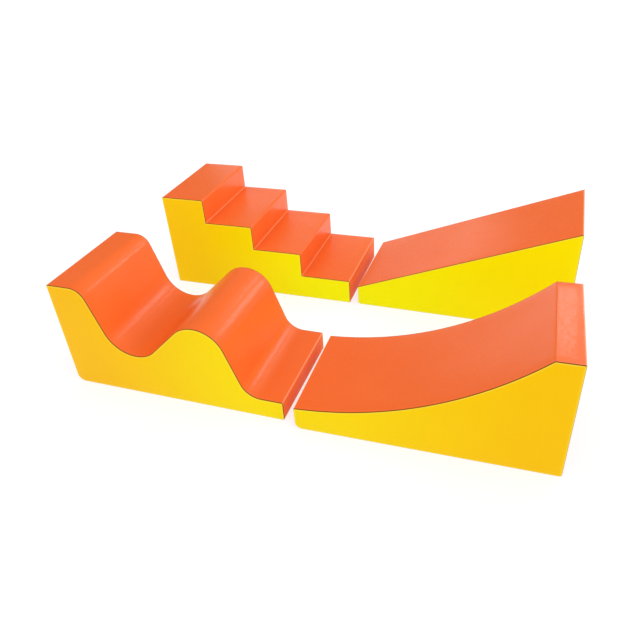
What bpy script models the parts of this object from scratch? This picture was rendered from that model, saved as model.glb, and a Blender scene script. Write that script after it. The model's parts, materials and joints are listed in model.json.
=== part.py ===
"""A set of four soft play blocks to climb and crawl over: a wave, a slide, a flight of steps and a ramp.

Each block is a foam core in a cover of vinyl panels. The cover comes off by a zip low on the back side.
The set stands on z = 0 with the middle of its footprint at the origin. Each block is modelled in its own
frame, with its front left bottom corner at the origin, x along its length, y towards its back and z up.
An outline is a loop of x, z points seen from the front, counterclockwise, so its inside is on the left.
"""

import math
from dataclasses import dataclass
from enum import Enum

import bmesh
import bpy
import numpy as np
from mathutils import Vector

# Sizes that all blocks share, in metres
BLOCK_LENGTH = 1.20
BLOCK_WIDTH = 0.60
BLOCK_HEIGHT = 0.60
COVER_THICKNESS = 0.0010
CLEARANCE = 0.0003  # between pieces that touch
SHORTFALL = 0.0003  # the most that an arc's straight steps may cut inside the arc
SHARP_ANGLE = 50.0  # degrees; an edge that bends less is shaded smooth

# The wave, from its high end on the left: the flat crest, the dip, the hump and the flat tail. The places
# and the radii of its bends are shares of the run between the flat crest and the flat tail.
CREST_RUN = 0.131
DIP_HEIGHT = 0.240
HUMP_HEIGHT = 0.467
TAIL_RUN = 0.111
TAIL_HEIGHT = 0.108
WAVE_FOOT_RADIUS = 0.040  # under the high end
WAVE_TOE_RADIUS = 0.010  # under the tail
DIP_PLACE_SHARE, HUMP_PLACE_SHARE = 0.302, 0.680
CREST_RADIUS_SHARE, DIP_RADIUS_SHARE = 0.084, 0.168
HUMP_RADIUS_SHARE, TAIL_RADIUS_SHARE = 0.157, 0.110

# The slide, from its low end on the left: the straight lip, the hollow run and the flat top
SLIDE_LIP_HEIGHT = 0.121
SLIDE_LIP_RUN = 0.050
SLIDE_START_SLOPE = 4.6  # degrees
SLIDE_TOP_RUN = 0.112
SLIDE_FOLD_RADIUS = 0.012
SLIDE_FOOT_RADIUS = 0.036  # under the lip
SLIDE_HEEL_RADIUS = 0.010  # under the flat top

# The steps, from their high end on the left
STEP_COUNT = 4
TOP_TREAD_RUN = 0.280
NOSING_RADIUS = 0.010

# The ramp, from its low end on the left
RAMP_LIP_HEIGHT = 0.120
RAMP_FOOT_RADIUS = 0.015  # under the lip

# How the blocks stand, as they were pushed together
SLIDE_GAP = 0.0677
SLIDE_SETBACK = -0.0334
SLIDE_TURN = 1.15  # degrees
AISLE_WIDTH = 0.4763
STEPS_SHIFT = 0.0079
STEPS_TURN = 0.25  # degrees
RAMP_GAP = 0.0526
RAMP_SETBACK = 0.0066
RAMP_TURN = -0.53  # degrees

# The zip
ZIP_HEIGHT = 0.032  # the middle of its teeth above the floor
ZIP_END_MARGIN = 0.060
ZIP_OPENING = 0.012
TAPE_WIDTH = 0.0125
TAPE_THICKNESS = 0.0006
TAPE_OVERLAP = 0.008  # beyond each end of the opening
TEETH_WIDTH = 0.0025  # of one row
TEETH_THICKNESS = 0.0024

# The zip's slider and puller
SLIDER_LENGTH = 0.014
SLIDER_WIDTH = 0.009
SLIDER_TAIL_WIDTH = 0.0065
SLIDER_PLATE = 0.0012
POST_LENGTH = 0.005
POST_THICKNESS = 0.0005
BRIDGE_LENGTH = 0.008
BRIDGE_WIDTH = 0.0020
BRIDGE_THICKNESS = 0.0010
PULLER_LENGTH = 0.028
PULLER_WIDTH = 0.0076
PULLER_THICKNESS = 0.0012
PULLER_PLAY = 0.0006  # between the puller's bar and the slider
PULLER_EYE_LENGTH = 0.0054
PULLER_EYE_WIDTH = 0.0034

# Worked out from the sizes above
UNDER_COVER = COVER_THICKNESS + CLEARANCE
INNER_NEAR, INNER_FAR = UNDER_COVER, BLOCK_WIDTH - UNDER_COVER
TEETH_GAP = POST_THICKNESS + 2 * CLEARANCE
TAPE_OUTER = INNER_FAR
TAPE_INNER = TAPE_OUTER - TAPE_THICKNESS
TEETH_MIDDLE = (TAPE_OUTER + TAPE_INNER) / 2
TEETH_OUTER = TEETH_MIDDLE + TEETH_THICKNESS / 2
TEETH_INNER = TEETH_MIDDLE - TEETH_THICKNESS / 2
SLIDER_OUTER = TEETH_OUTER + CLEARANCE + SLIDER_PLATE
SLIDER_INNER = TEETH_INNER - CLEARANCE - SLIDER_PLATE
PULLER_AXIS = SLIDER_OUTER + PULLER_PLAY + PULLER_THICKNESS / 2
BRIDGE_UNDERSIDE = PULLER_AXIS + PULLER_THICKNESS / 2 + PULLER_PLAY
OPENING_START, OPENING_END = ZIP_END_MARGIN, BLOCK_LENGTH - ZIP_END_MARGIN
OPENING_LOW, OPENING_HIGH = ZIP_HEIGHT - ZIP_OPENING / 2, ZIP_HEIGHT + ZIP_OPENING / 2
TAPE_START, TAPE_END = OPENING_START - TAPE_OVERLAP, OPENING_END + TAPE_OVERLAP
TAPE_REACH = TEETH_GAP / 2 + TAPE_WIDTH
RISER_HEIGHT = BLOCK_HEIGHT / STEP_COUNT
TREAD_RUN = (BLOCK_LENGTH - TOP_TREAD_RUN) / (STEP_COUNT - 1)


class Plane(Enum):
    """The plane that an outline is drawn in: its two axes, then the axis that it is extruded along."""

    SIDE = "xzy"
    SECTION = "yzx"
    PLAN = "xyz"


@dataclass(frozen=True)
class Finish:
    """One material: its colour as a screen shows it, how rough it is and whether it is metal."""

    name: str
    screen_colour: tuple
    roughness: float
    metallic: float = 0.0

    def material(self):
        """The Blender material of this finish, made once."""
        made = bpy.data.materials.get(self.name)
        if made is None:
            made = bpy.data.materials.new(self.name)
            made.use_nodes = True
            shader = made.node_tree.nodes["Principled BSDF"]
            linear = [math.pow(level / 255, 2.2) for level in self.screen_colour]
            shader.inputs["Base Color"].default_value = (*linear, 1.0)
            shader.inputs["Roughness"].default_value = self.roughness
            shader.inputs["Metallic"].default_value = self.metallic
        return made


ORANGE_VINYL = Finish("orange_vinyl", (247, 107, 44), 0.42)
YELLOW_VINYL = Finish("yellow_vinyl", (255, 208, 0), 0.42)
BASE_VINYL = Finish("base_vinyl", (226, 78, 32), 0.70)
FOAM = Finish("foam", (236, 234, 226), 0.95)
ZIP_TAPE = Finish("zip_tape", (236, 176, 12), 0.85)
ZIP_METAL = Finish("zip_metal", (176, 178, 182), 0.32, 1.0)


@dataclass
class Outline:
    """A block's closed outline, and the corner numbers at which each named run of it starts and ends."""

    corners: np.ndarray
    runs: dict

    @classmethod
    def joined(cls, runs):
        """Joins named runs, each ending where the next one starts, into one loop."""
        corners, spans = [], {}
        for name, run in runs.items():
            spans[name] = (len(corners), len(corners) + len(run) - 1)
            corners.extend(run[:-1])
        return cls(np.array(corners), spans)

    def edge(self, number):
        """The direction of an edge and its normal into the block."""
        count = len(self.corners)
        along = self.corners[(number + 1) % count] - self.corners[number % count]
        along = along / np.linalg.norm(along)
        return along, np.array([-along[1], along[0]])

    def inset_corner(self, number, before, after):
        """A corner moved in, so that it lies `before` deep from one edge and `after` from the next."""
        corner = self.corners[number % len(self.corners)]
        _, first = self.edge(number - 1)
        _, second = self.edge(number)
        if before == after:
            return corner + before * (first + second) / (1 + first @ second)
        return corner + np.linalg.solve(np.array([first, second]), np.array([before, after]))

    def inset(self, depth):
        """The whole loop moved in by a depth."""
        return [self.inset_corner(number, depth, depth) for number in range(len(self.corners))]

    def panel(self, run, lead, trail):
        """The section of a cover panel over a run.

        lead and trail say how deep the panel stops under the one that meets it at its first and at its
        last corner: zero where it laps over the other, and None where both lie along one smooth curve.
        """
        first, last = self.runs[run]
        rows = []
        for depth in (0, COVER_THICKNESS):
            row = [self._panel_end(first, lead, depth, first)]
            row += [self.inset_corner(number, depth, depth) for number in range(first + 1, last)]
            row.append(self._panel_end(last, trail, depth, last - 1))
            rows.append(row)
        return rows[0] + rows[1][::-1]

    def _panel_end(self, corner, other_depth, depth, own_edge):
        """The end of a panel's outer or inner face."""
        if other_depth is None:
            along, inwards = self.edge(own_edge)
            back = CLEARANCE / 2 if own_edge == corner else -CLEARANCE / 2
            return self.corners[corner % len(self.corners)] + back * along + depth * inwards
        if own_edge == corner:
            return self.inset_corner(corner, other_depth, depth)
        return self.inset_corner(corner, depth, other_depth)

    def part_above(self, height, notch):
        """The loop cut off below a height, with a notch of the given corners let into the cut."""
        return self._cut(height, True) + notch

    def part_below(self, height, notch):
        """The loop cut off above a height, with a notch of the given corners let into the cut."""
        return self._cut(height, False) + notch

    def _cut(self, height, keep_above):
        """The corners on one side of a height, from where the loop crosses it to where it crosses back."""
        count = len(self.corners)
        kept = (self.corners[:, 1] > height) == keep_above
        start = next(i for i in range(count) if kept[i] and not kept[i - 1])
        order = [(start + i) % count for i in range(int(kept.sum()))]
        crossings = [self._crossing(start - 1, height), self._crossing(order[-1], height)]
        return [crossings[0], *(self.corners[i] for i in order), crossings[1]]

    def _crossing(self, number, height):
        """Where an edge passes a height."""
        count = len(self.corners)
        low, high = self.corners[number % count], self.corners[(number + 1) % count]
        return low + (high - low) * (height - low[1]) / (high[1] - low[1])


def arc(centre, radius, start, end):
    """Points on an arc from one angle to another, in radians, close enough to its true curve."""
    step = 2 * math.acos(1 - SHORTFALL / radius)
    count = max(1, math.ceil(abs(end - start) / step))
    angles = np.linspace(start, end, count + 1)
    return [np.array([centre[0] + radius * math.cos(a), centre[1] + radius * math.sin(a)]) for a in angles]


def rounded_corner(before, corner, after, radius):
    """The arc that rounds off the corner of three points."""
    corner = np.array(corner)
    towards = np.array(before) - corner
    away = np.array(after) - corner
    towards, away = towards / np.linalg.norm(towards), away / np.linalg.norm(away)
    half = math.acos(float(towards @ away)) / 2
    middle = (towards + away) / np.linalg.norm(towards + away)
    centre = corner + middle * radius / math.sin(half)
    ends = [corner + side * radius / math.tan(half) - centre for side in (towards, away)]
    start, end = (math.atan2(side[1], side[0]) for side in ends)
    if end - start > math.pi:
        end -= 2 * math.pi
    elif start - end > math.pi:
        end += 2 * math.pi
    return arc(centre, radius, start, end)


def bends_joined(bends, start, end):
    """A left to right curve through bends joined by straight runs that touch both circles.

    Each bend is (place, height, radius): a crest if its radius is positive, with its top at that height,
    and a dip if it is negative. The angle of a run is that of the line between the two centres, turned by
    the angle whose sine is the difference of the signed radii over the distance between the centres.
    """
    centres = [(place, height - radius) for place, height, radius in bends]
    angles = [0.0]
    for (first, second), (one, other) in zip(zip(centres, centres[1:]), zip(bends, bends[1:])):
        across, up = second[0] - first[0], second[1] - first[1]
        turn = math.asin((other[2] - one[2]) / math.hypot(across, up))
        angles.append(math.atan2(up, across) + turn)
    angles.append(0.0)
    curve = [np.array(start)]
    for centre, (_, _, radius), entry, leaving in zip(centres, bends, angles, angles[1:]):
        side = math.copysign(math.pi / 2, radius)
        curve += arc(centre, abs(radius), entry + side, leaving + side)
    return [*curve, np.array(end)]


def foot(outline_end, corner, next_along, radius):
    """A bottom corner, rounded where it has a radius."""
    return rounded_corner(outline_end, corner, next_along, radius) if radius else [np.array(corner)]


def block_outline(top, left_radius, right_radius):
    """The outline of a block under a top curve that is given from left to right."""
    left_top, right_top = top[0], top[-1]
    bottom_left, bottom_right = np.array([0.0, 0.0]), np.array([BLOCK_LENGTH, 0.0])
    left_foot = foot(left_top, bottom_left, bottom_right, left_radius)
    right_foot = foot(bottom_left, bottom_right, right_top, right_radius)
    return Outline.joined(
        {
            "base": [left_foot[-1], right_foot[0]],
            "right_end": [*right_foot, right_top],
            "top": top[::-1],
            "left_end": [left_top, *left_foot],
        }
    )


def wave_outline():
    """A high crest, a dip, a lower hump and a flat tail."""
    run = BLOCK_LENGTH - CREST_RUN - TAIL_RUN
    bends = [
        (CREST_RUN, BLOCK_HEIGHT, CREST_RADIUS_SHARE * run),
        (CREST_RUN + DIP_PLACE_SHARE * run, DIP_HEIGHT, -DIP_RADIUS_SHARE * run),
        (CREST_RUN + HUMP_PLACE_SHARE * run, HUMP_HEIGHT, HUMP_RADIUS_SHARE * run),
        (BLOCK_LENGTH - TAIL_RUN, TAIL_HEIGHT, -TAIL_RADIUS_SHARE * run),
    ]
    top = bends_joined(bends, (0.0, BLOCK_HEIGHT), (BLOCK_LENGTH, TAIL_HEIGHT))
    return block_outline(top, WAVE_FOOT_RADIUS, WAVE_TOE_RADIUS)


def slide_outline():
    """A hollow run that starts almost level past the lip and ends at a folded edge and a flat top."""
    start = math.radians(SLIDE_START_SLOPE)
    lip = np.array([0.0, SLIDE_LIP_HEIGHT])
    lip_end = lip + np.array([SLIDE_LIP_RUN, SLIDE_LIP_RUN * math.tan(start)])
    fold = np.array([BLOCK_LENGTH - SLIDE_TOP_RUN, BLOCK_HEIGHT])
    chord = fold - lip_end
    lean = math.atan2(chord[1], chord[0])
    radius = np.linalg.norm(chord) / (2 * math.sin(lean - start))
    centre = lip_end + radius * np.array([-math.sin(start), math.cos(start)])
    run = arc(centre, radius, start - math.pi / 2, 2 * lean - start - math.pi / 2)
    right_top = np.array([BLOCK_LENGTH, BLOCK_HEIGHT])
    folded = rounded_corner(run[-2], fold, right_top, SLIDE_FOLD_RADIUS)
    top = [lip, *run[:-1], *folded, right_top]
    return block_outline(top, SLIDE_FOOT_RADIUS, SLIDE_HEEL_RADIUS)


def ramp_outline():
    """One straight slope."""
    top = [np.array([0.0, RAMP_LIP_HEIGHT]), np.array([BLOCK_LENGTH, BLOCK_HEIGHT])]
    return block_outline(top, RAMP_FOOT_RADIUS, 0.0)


def steps_outline():
    """Steps that go down from the left, each tread with the riser below it as one run."""
    bottom_left, bottom_right = np.array([0.0, 0.0]), np.array([BLOCK_LENGTH, 0.0])
    treads = []
    start = np.array([0.0, BLOCK_HEIGHT])
    for step in range(STEP_COUNT - 1):
        nose = np.array([TOP_TREAD_RUN + step * TREAD_RUN, start[1]])
        below = nose - np.array([0.0, RISER_HEIGHT])
        treads.append([start, *rounded_corner(start, nose, below, NOSING_RADIUS), below])
        start = below
    low_top = np.array([BLOCK_LENGTH, start[1]])
    treads.append([start, low_top])
    runs = {"base": [bottom_left, bottom_right], "right_end": [bottom_right, low_top]}
    for number in range(STEP_COUNT, 0, -1):
        runs[f"tread_{number}"] = treads[number - 1][::-1]
    runs["left_end"] = [treads[0][0], bottom_left]
    return Outline.joined(runs)


def place_in(block, piece, origin=(0.0, 0.0, 0.0)):
    """Hangs a piece on its block, with the piece's own origin at a place in the block's frame."""
    piece.parent = block
    piece.location = origin


def prism(name, outline, span, finish, plane=Plane.SIDE):
    """A solid made by extruding an outline over a span."""
    across, up, along = ("xyz".index(axis) for axis in plane.value)
    mesh = bpy.data.meshes.new(name)
    shape = bmesh.new()
    rings = []
    for depth in span:
        places = np.zeros((len(outline), 3))
        places[:, across] = [point[0] for point in outline]
        places[:, up] = [point[1] for point in outline]
        places[:, along] = depth
        rings.append([shape.verts.new(place) for place in places])
    near, far = rings
    shape.faces.new(near)
    shape.faces.new(far[::-1])
    for i, vertex in enumerate(near):
        shape.faces.new((vertex, near[i - 1], far[i - 1], far[i]))
    bmesh.ops.recalc_face_normals(shape, faces=shape.faces)
    shape.to_mesh(mesh)
    shape.free()
    mesh.shade_smooth()
    mesh.set_sharp_from_angle(angle=math.radians(SHARP_ANGLE))
    mesh.materials.append(finish.material())
    piece = bpy.data.objects.new(name, mesh)
    bpy.context.collection.objects.link(piece)
    return piece


def rectangle(low_across, low_up, high_across, high_up):
    """A rectangle's corners, counterclockwise."""
    return [(low_across, low_up), (high_across, low_up), (high_across, high_up), (low_across, high_up)]


def combine(piece, other, operation):
    """Joins another solid to a piece or cuts it out, and keeps the other only as a guide."""
    change = piece.modifiers.new(other.name, "BOOLEAN")
    change.operation = operation
    change.solver = "EXACT"
    change.object = other
    other.hide_render = True
    other.display_type = "WIRE"


def foam_core(name, block, outline):
    """The foam, cut back along the zip so that the slider runs free."""
    core = prism(f"{name}_foam_core", outline.inset(UNDER_COVER), (INNER_NEAR, INNER_FAR), FOAM)
    place_in(block, core)
    reach = TAPE_REACH + CLEARANCE
    ends = (TAPE_START - CLEARANCE, TAPE_END + CLEARANCE)
    groove_section = rectangle(
        SLIDER_INNER - CLEARANCE, ZIP_HEIGHT - reach, BLOCK_WIDTH, ZIP_HEIGHT + reach
    )
    groove = prism(f"{name}_zip_groove", groove_section, ends, FOAM, Plane.SECTION)
    place_in(block, groove)
    combine(core, groove, "DIFFERENCE")


def side_panels(name, block, outline):
    """The front panel, and the back panel and the hem under it with the zip's opening between them."""
    front = prism(f"{name}_front_panel", list(outline.corners), (0.0, COVER_THICKNESS), YELLOW_VINYL)
    back_span = (BLOCK_WIDTH - COVER_THICKNESS, BLOCK_WIDTH)
    upper_seam, lower_seam = ZIP_HEIGHT + CLEARANCE / 2, ZIP_HEIGHT - CLEARANCE / 2
    above = [
        (OPENING_START, upper_seam),
        (OPENING_START, OPENING_HIGH),
        (OPENING_END, OPENING_HIGH),
        (OPENING_END, upper_seam),
    ]
    below = [
        (OPENING_END, lower_seam),
        (OPENING_END, OPENING_LOW),
        (OPENING_START, OPENING_LOW),
        (OPENING_START, lower_seam),
    ]
    back = prism(f"{name}_back_panel", outline.part_above(upper_seam, above), back_span, YELLOW_VINYL)
    hem = prism(f"{name}_back_hem", outline.part_below(lower_seam, below), back_span, YELLOW_VINYL)
    for panel in (front, back, hem):
        place_in(block, panel)


def wrap_panel(name, block, section, finish):
    """One of the panels that wrap the core between the two side panels."""
    place_in(block, prism(name, section, (INNER_NEAR, INNER_FAR), finish))


def end_and_base_panels(name, block, outline, left_is_high, rounded_feet):
    """The base panel and the two end panels, which stop under the top and stand on the base."""
    left, right = ("high", "low") if left_is_high else ("low", "high")
    left_rounded, right_rounded = rounded_feet
    base = outline.panel("base", None if left_rounded else 0, None if right_rounded else 0)
    left_end = outline.panel("left_end", UNDER_COVER, None if left_rounded else UNDER_COVER)
    right_end = outline.panel("right_end", None if right_rounded else UNDER_COVER, UNDER_COVER)
    wrap_panel(f"{name}_base_panel", block, base, BASE_VINYL)
    wrap_panel(f"{name}_{left}_end_panel", block, left_end, ORANGE_VINYL)
    wrap_panel(f"{name}_{right}_end_panel", block, right_end, ORANGE_VINYL)


def tread_panels(name, block, outline):
    """The panels over the steps: each ends at a seam in the corner where a riser meets the next tread."""
    for number in range(1, STEP_COUNT + 1):
        lead = 0
        trail = 0 if number == 1 else -CLEARANCE
        section = outline.panel(f"tread_{number}", lead, trail)
        wrap_panel(f"{name}_tread_panel_{number}", block, section, ORANGE_VINYL)


def zip_tape(name, block, side):
    """One half of the zip: a tape with a row of teeth along its inner edge. side is 1 above, -1 below."""
    start = ZIP_HEIGHT + side * TEETH_GAP / 2
    middle, end_of_teeth = start + side * TEETH_WIDTH / 2, start + side * TEETH_WIDTH
    edge = ZIP_HEIGHT + side * TAPE_REACH
    strip = rectangle(TAPE_INNER, middle, TAPE_OUTER, edge)
    tape = prism(name, strip, (TAPE_START, TAPE_END), ZIP_TAPE, Plane.SECTION)
    row = rectangle(TEETH_INNER, start, TEETH_OUTER, end_of_teeth)
    row_span = (OPENING_START + CLEARANCE, OPENING_END - CLEARANCE)
    teeth = prism(f"{name}_teeth", row, row_span, ZIP_TAPE, Plane.SECTION)
    for piece in (tape, teeth):
        place_in(block, piece)
    combine(tape, teeth, "UNION")


def zip_slider(name, block, start):
    """Two plates joined by a post between the rows of teeth, with a bridge for the puller outside."""
    half, wide, narrow = SLIDER_LENGTH / 2, SLIDER_WIDTH / 2, SLIDER_TAIL_WIDTH / 2
    shoulder = half - (wide - narrow)
    plate = [
        (-half, -narrow),
        (shoulder, -wide),
        (half, -narrow),
        (half, narrow),
        (shoulder, wide),
        (-half, narrow),
    ]
    slider = prism(name, plate, (SLIDER_OUTER - SLIDER_PLATE, SLIDER_OUTER), ZIP_METAL)
    inner = prism(f"{name}_inner_plate", plate, (SLIDER_INNER, SLIDER_INNER + SLIDER_PLATE), ZIP_METAL)
    post_section = rectangle(-POST_LENGTH / 2, -POST_THICKNESS / 2, POST_LENGTH / 2, POST_THICKNESS / 2)
    sunk = SLIDER_PLATE / 2
    post = prism(f"{name}_post", post_section, (SLIDER_INNER + sunk, SLIDER_OUTER - sunk), ZIP_METAL)
    leg, top = BRIDGE_LENGTH / 2, BRIDGE_UNDERSIDE + BRIDGE_THICKNESS
    inside = leg - BRIDGE_THICKNESS
    arch = [
        (-leg, SLIDER_OUTER - sunk),
        (-inside, SLIDER_OUTER - sunk),
        (-inside, BRIDGE_UNDERSIDE),
        (inside, BRIDGE_UNDERSIDE),
        (inside, SLIDER_OUTER - sunk),
        (leg, SLIDER_OUTER - sunk),
        (leg, top - BRIDGE_THICKNESS / 2),
        (leg - BRIDGE_THICKNESS / 2, top),
        (BRIDGE_THICKNESS / 2 - leg, top),
        (-leg, top - BRIDGE_THICKNESS / 2),
    ]
    bridge = prism(f"{name}_bridge", arch, (-BRIDGE_WIDTH / 2, BRIDGE_WIDTH / 2), ZIP_METAL, Plane.PLAN)
    place_in(block, slider, (start, 0.0, ZIP_HEIGHT))
    for guide in (post, inner, bridge):
        place_in(slider, guide)
        combine(slider, guide, "UNION")


def zip_puller(name, block, start):
    """A flat tab with an eye at one end, whose bar is caught under the slider's bridge."""
    bar, half = PULLER_THICKNESS / 2, PULLER_WIDTH / 2
    far = PULLER_LENGTH - bar
    tip = far - half
    grip = arc((tip, 0.0), half, -math.pi / 2, math.pi / 2)
    outline = [(-bar, -half), *grip, (-bar, half)]
    puller = prism(name, outline, (-bar, bar), ZIP_METAL)
    place_in(block, puller, (start, PULLER_AXIS, ZIP_HEIGHT))
    eye_outline = rectangle(bar, -PULLER_EYE_WIDTH / 2, bar + PULLER_EYE_LENGTH, PULLER_EYE_WIDTH / 2)
    eye = prism(f"{name}_eye", eye_outline, (-PULLER_THICKNESS, PULLER_THICKNESS), ZIP_METAL)
    place_in(puller, eye)
    combine(puller, eye, "DIFFERENCE")


def zip_fastener(name, block):
    """The zip, closed, with its slider at the left end of its opening."""
    start = OPENING_START + SLIDER_LENGTH / 2 + CLEARANCE
    zip_tape(f"{name}_zip_upper_tape", block, 1)
    zip_tape(f"{name}_zip_lower_tape", block, -1)
    zip_slider(f"{name}_zip_slider", block, start)
    zip_puller(f"{name}_zip_puller", block, start)


@dataclass(frozen=True)
class BlockPlan:
    """One block: its outline, which end is high, which feet are rounded and where it stands."""

    name: str
    outline: Outline
    left_is_high: bool
    rounded_feet: tuple
    corner: tuple
    turn: float

    def build(self, play_set):
        """Makes the block's pieces under an empty of its own."""
        block = bpy.data.objects.new(f"{self.name}_block", None)
        bpy.context.collection.objects.link(block)
        block.parent = play_set
        block.location = (*self.corner, 0.0)
        block.rotation_euler.z = math.radians(self.turn)
        foam_core(self.name, block, self.outline)
        side_panels(self.name, block, self.outline)
        end_and_base_panels(self.name, block, self.outline, self.left_is_high, self.rounded_feet)
        if "top" in self.outline.runs:
            wrap_panel(f"{self.name}_top_panel", block, self.outline.panel("top", 0, 0), ORANGE_VINYL)
        else:
            tread_panels(self.name, block, self.outline)
        zip_fastener(self.name, block)


def block_plans():
    """The four blocks as they stand: the wave and the slide in front, the steps and the ramp behind."""
    back_row = BLOCK_WIDTH + AISLE_WIDTH
    slide_place = (BLOCK_LENGTH + SLIDE_GAP, SLIDE_SETBACK)
    steps_place = (STEPS_SHIFT, back_row)
    ramp_place = (STEPS_SHIFT + BLOCK_LENGTH + RAMP_GAP, back_row + RAMP_SETBACK)
    return [
        BlockPlan("wave", wave_outline(), True, (True, True), (0.0, 0.0), 0.0),
        BlockPlan("slide", slide_outline(), False, (True, True), slide_place, SLIDE_TURN),
        BlockPlan("steps", steps_outline(), True, (False, False), steps_place, STEPS_TURN),
        BlockPlan("ramp", ramp_outline(), False, (True, False), ramp_place, RAMP_TURN),
    ]


def solid_corners():
    """Every vertex of every solid, in world space, as its modifiers leave it."""
    bpy.context.view_layer.update()
    shown = bpy.context.evaluated_depsgraph_get()
    places = []
    for piece in bpy.data.objects:
        if piece.type == "MESH" and not piece.hide_render:
            finished = piece.evaluated_get(shown)
            places += [finished.matrix_world @ vertex.co for vertex in finished.data.vertices]
    return np.array(places)


def main():
    """Builds the set and moves it so that the middle of its footprint is at the origin."""
    for old in list(bpy.data.objects):
        bpy.data.objects.remove(old, do_unlink=True)
    play_set = bpy.data.objects.new("play_set", None)
    bpy.context.collection.objects.link(play_set)
    for plan in block_plans():
        plan.build(play_set)
    corners = solid_corners()
    middle = (corners.min(axis=0) + corners.max(axis=0)) / 2
    play_set.location = Vector((-middle[0], -middle[1], 0.0))


main()
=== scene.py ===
"""Looks for a set of four soft play blocks: a wave, a slide, a flight of steps and a ramp.

Each block is dressed in its own frame, with its front left bottom corner at the origin, x along its length,
y towards its back and z up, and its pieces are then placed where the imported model's block stands. Lengths
are in metres and angles in radians unless a name says otherwise. A panel of the cover is laid out flat first,
with p along its run and q across it, and then lifted onto the foam.
"""

import json
import logging
import math
from abc import ABC, abstractmethod
from collections.abc import Callable
from dataclasses import dataclass, field, replace
from enum import Enum

import bpy
import numpy as np
from mathutils import Matrix, Vector

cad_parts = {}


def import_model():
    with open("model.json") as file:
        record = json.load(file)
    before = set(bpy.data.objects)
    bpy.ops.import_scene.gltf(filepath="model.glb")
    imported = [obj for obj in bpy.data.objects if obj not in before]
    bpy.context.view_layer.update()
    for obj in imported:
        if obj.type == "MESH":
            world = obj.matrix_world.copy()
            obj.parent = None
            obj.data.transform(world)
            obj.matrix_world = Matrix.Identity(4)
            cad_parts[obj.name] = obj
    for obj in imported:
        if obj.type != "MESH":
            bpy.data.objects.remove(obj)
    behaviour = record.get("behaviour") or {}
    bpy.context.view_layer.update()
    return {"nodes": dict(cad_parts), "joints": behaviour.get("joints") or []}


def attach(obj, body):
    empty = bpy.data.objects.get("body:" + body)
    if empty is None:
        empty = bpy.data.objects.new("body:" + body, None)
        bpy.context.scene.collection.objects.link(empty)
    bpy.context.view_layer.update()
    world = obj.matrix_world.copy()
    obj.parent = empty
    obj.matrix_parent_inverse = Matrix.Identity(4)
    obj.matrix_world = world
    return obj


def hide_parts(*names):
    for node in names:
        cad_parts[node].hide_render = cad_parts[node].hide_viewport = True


LOG = logging.getLogger("soft_play")
SEAM_ATTRIBUTE = "seam"  # how far a point lies from the seams between two colours
FOLD_ATTRIBUTE = "fold"  # how far it lies from the seams within one colour
LAYOUT_MAP = "layout"  # the flat layout of a piece, as its UV map
FAR_AWAY = 1.0  # a distance past the reach of every seam
WHITE = (1.0, 1.0, 1.0, 1.0)
Array = np.ndarray
Lift = Callable[[Array, Array], Array]
Triple = tuple[float, float, float]
Colour = tuple[int, int, int]
Span = tuple[float, float]
Material = bpy.types.Material
Node = bpy.types.Node
Object = bpy.types.Object
Socket = bpy.types.NodeSocket
Tree = bpy.types.NodeTree
Amount = Socket | float


@dataclass(frozen=True)
class BlockSize:
    """The sizes that all four blocks share."""

    length: float = 1.20
    width: float = 0.60
    height: float = 0.60


@dataclass(frozen=True)
class ZipPlace:
    """Where the zip lies on the back side of a block, and how far its pieces lie under the outer face."""

    height: float = 0.032
    end_margin: float = 0.060
    opening: float = 0.012
    slider_rest: float = 0.0673  # along the block, from its left end
    puller_axis: float = 0.0023  # proud of the back face
    ease: float = 0.014  # over which the opening narrows at each end
    tape_overlap: float = 0.008  # past each end of the opening
    tape_reach: float = 0.01305  # from the middle of the zip
    tape_depth: float = 0.0016  # of the tape's middle under the back face


@dataclass(frozen=True)
class BlockPlace:
    """Where a block stands: its front left bottom corner, and the directions of its length and its depth."""

    corner: Array
    along: Array
    back: Array

    @classmethod
    def of_block(cls, name: str, joints: list[dict], size: BlockSize, zip_place: ZipPlace) -> "BlockPlace":
        """Works the place out from the block's zip: the slider travels along the block, and the puller
        hangs at a known point of it.

        Args:
            name: The block's name.
            joints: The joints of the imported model.
            size: The size of a block.
            zip_place: Where the zip lies on a block.

        Returns:
            The place of the block.
        """
        by_name = {joint["name"]: joint for joint in joints}
        along = np.array(by_name[f"{name}_zip_travel"]["axis"], float)
        up = np.array([0.0, 0.0, 1.0])
        back = np.cross(up, along)
        hinge = np.array(by_name[f"{name}_puller_swing"]["pos_m"], float)
        from_corner = (
            zip_place.slider_rest * along
            + (size.width + zip_place.puller_axis) * back
            + zip_place.height * up
        )
        return cls(hinge - from_corner, along, back)

    def place(self, points: Array) -> Array:
        """Points of the block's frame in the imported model's frame."""
        flat = points[:, :1] * self.along + points[:, 1:2] * self.back
        return self.corner + flat + points[:, 2:] * np.array([0.0, 0.0, 1.0])


def unit(vectors: Array) -> Array:
    """Vectors at length one, along the last axis."""
    return vectors / np.linalg.norm(vectors, axis=-1, keepdims=True)


@dataclass(frozen=True)
class MeshStep:
    """How fine the meshes are."""

    spacing: float = 0.0085  # the most between two points on a plain stretch
    wide: float = 0.0200  # the same on the foam and the base, which don't show
    arc_step: float = math.radians(7.5)
    least: float = 0.0006  # the least between two points
    hair: float = 1e-6  # points closer than this are one
    spare: float = 0.01  # of a spacing, by which a stretch may be longer without a further point
    corner_clear: float = 0.0085  # how far from a sharp corner the points are squeezed past its rounding
    row_margin: float = 0.0255  # beside a seam, over which the rows keep their distance from it


STEP = MeshStep()


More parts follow.
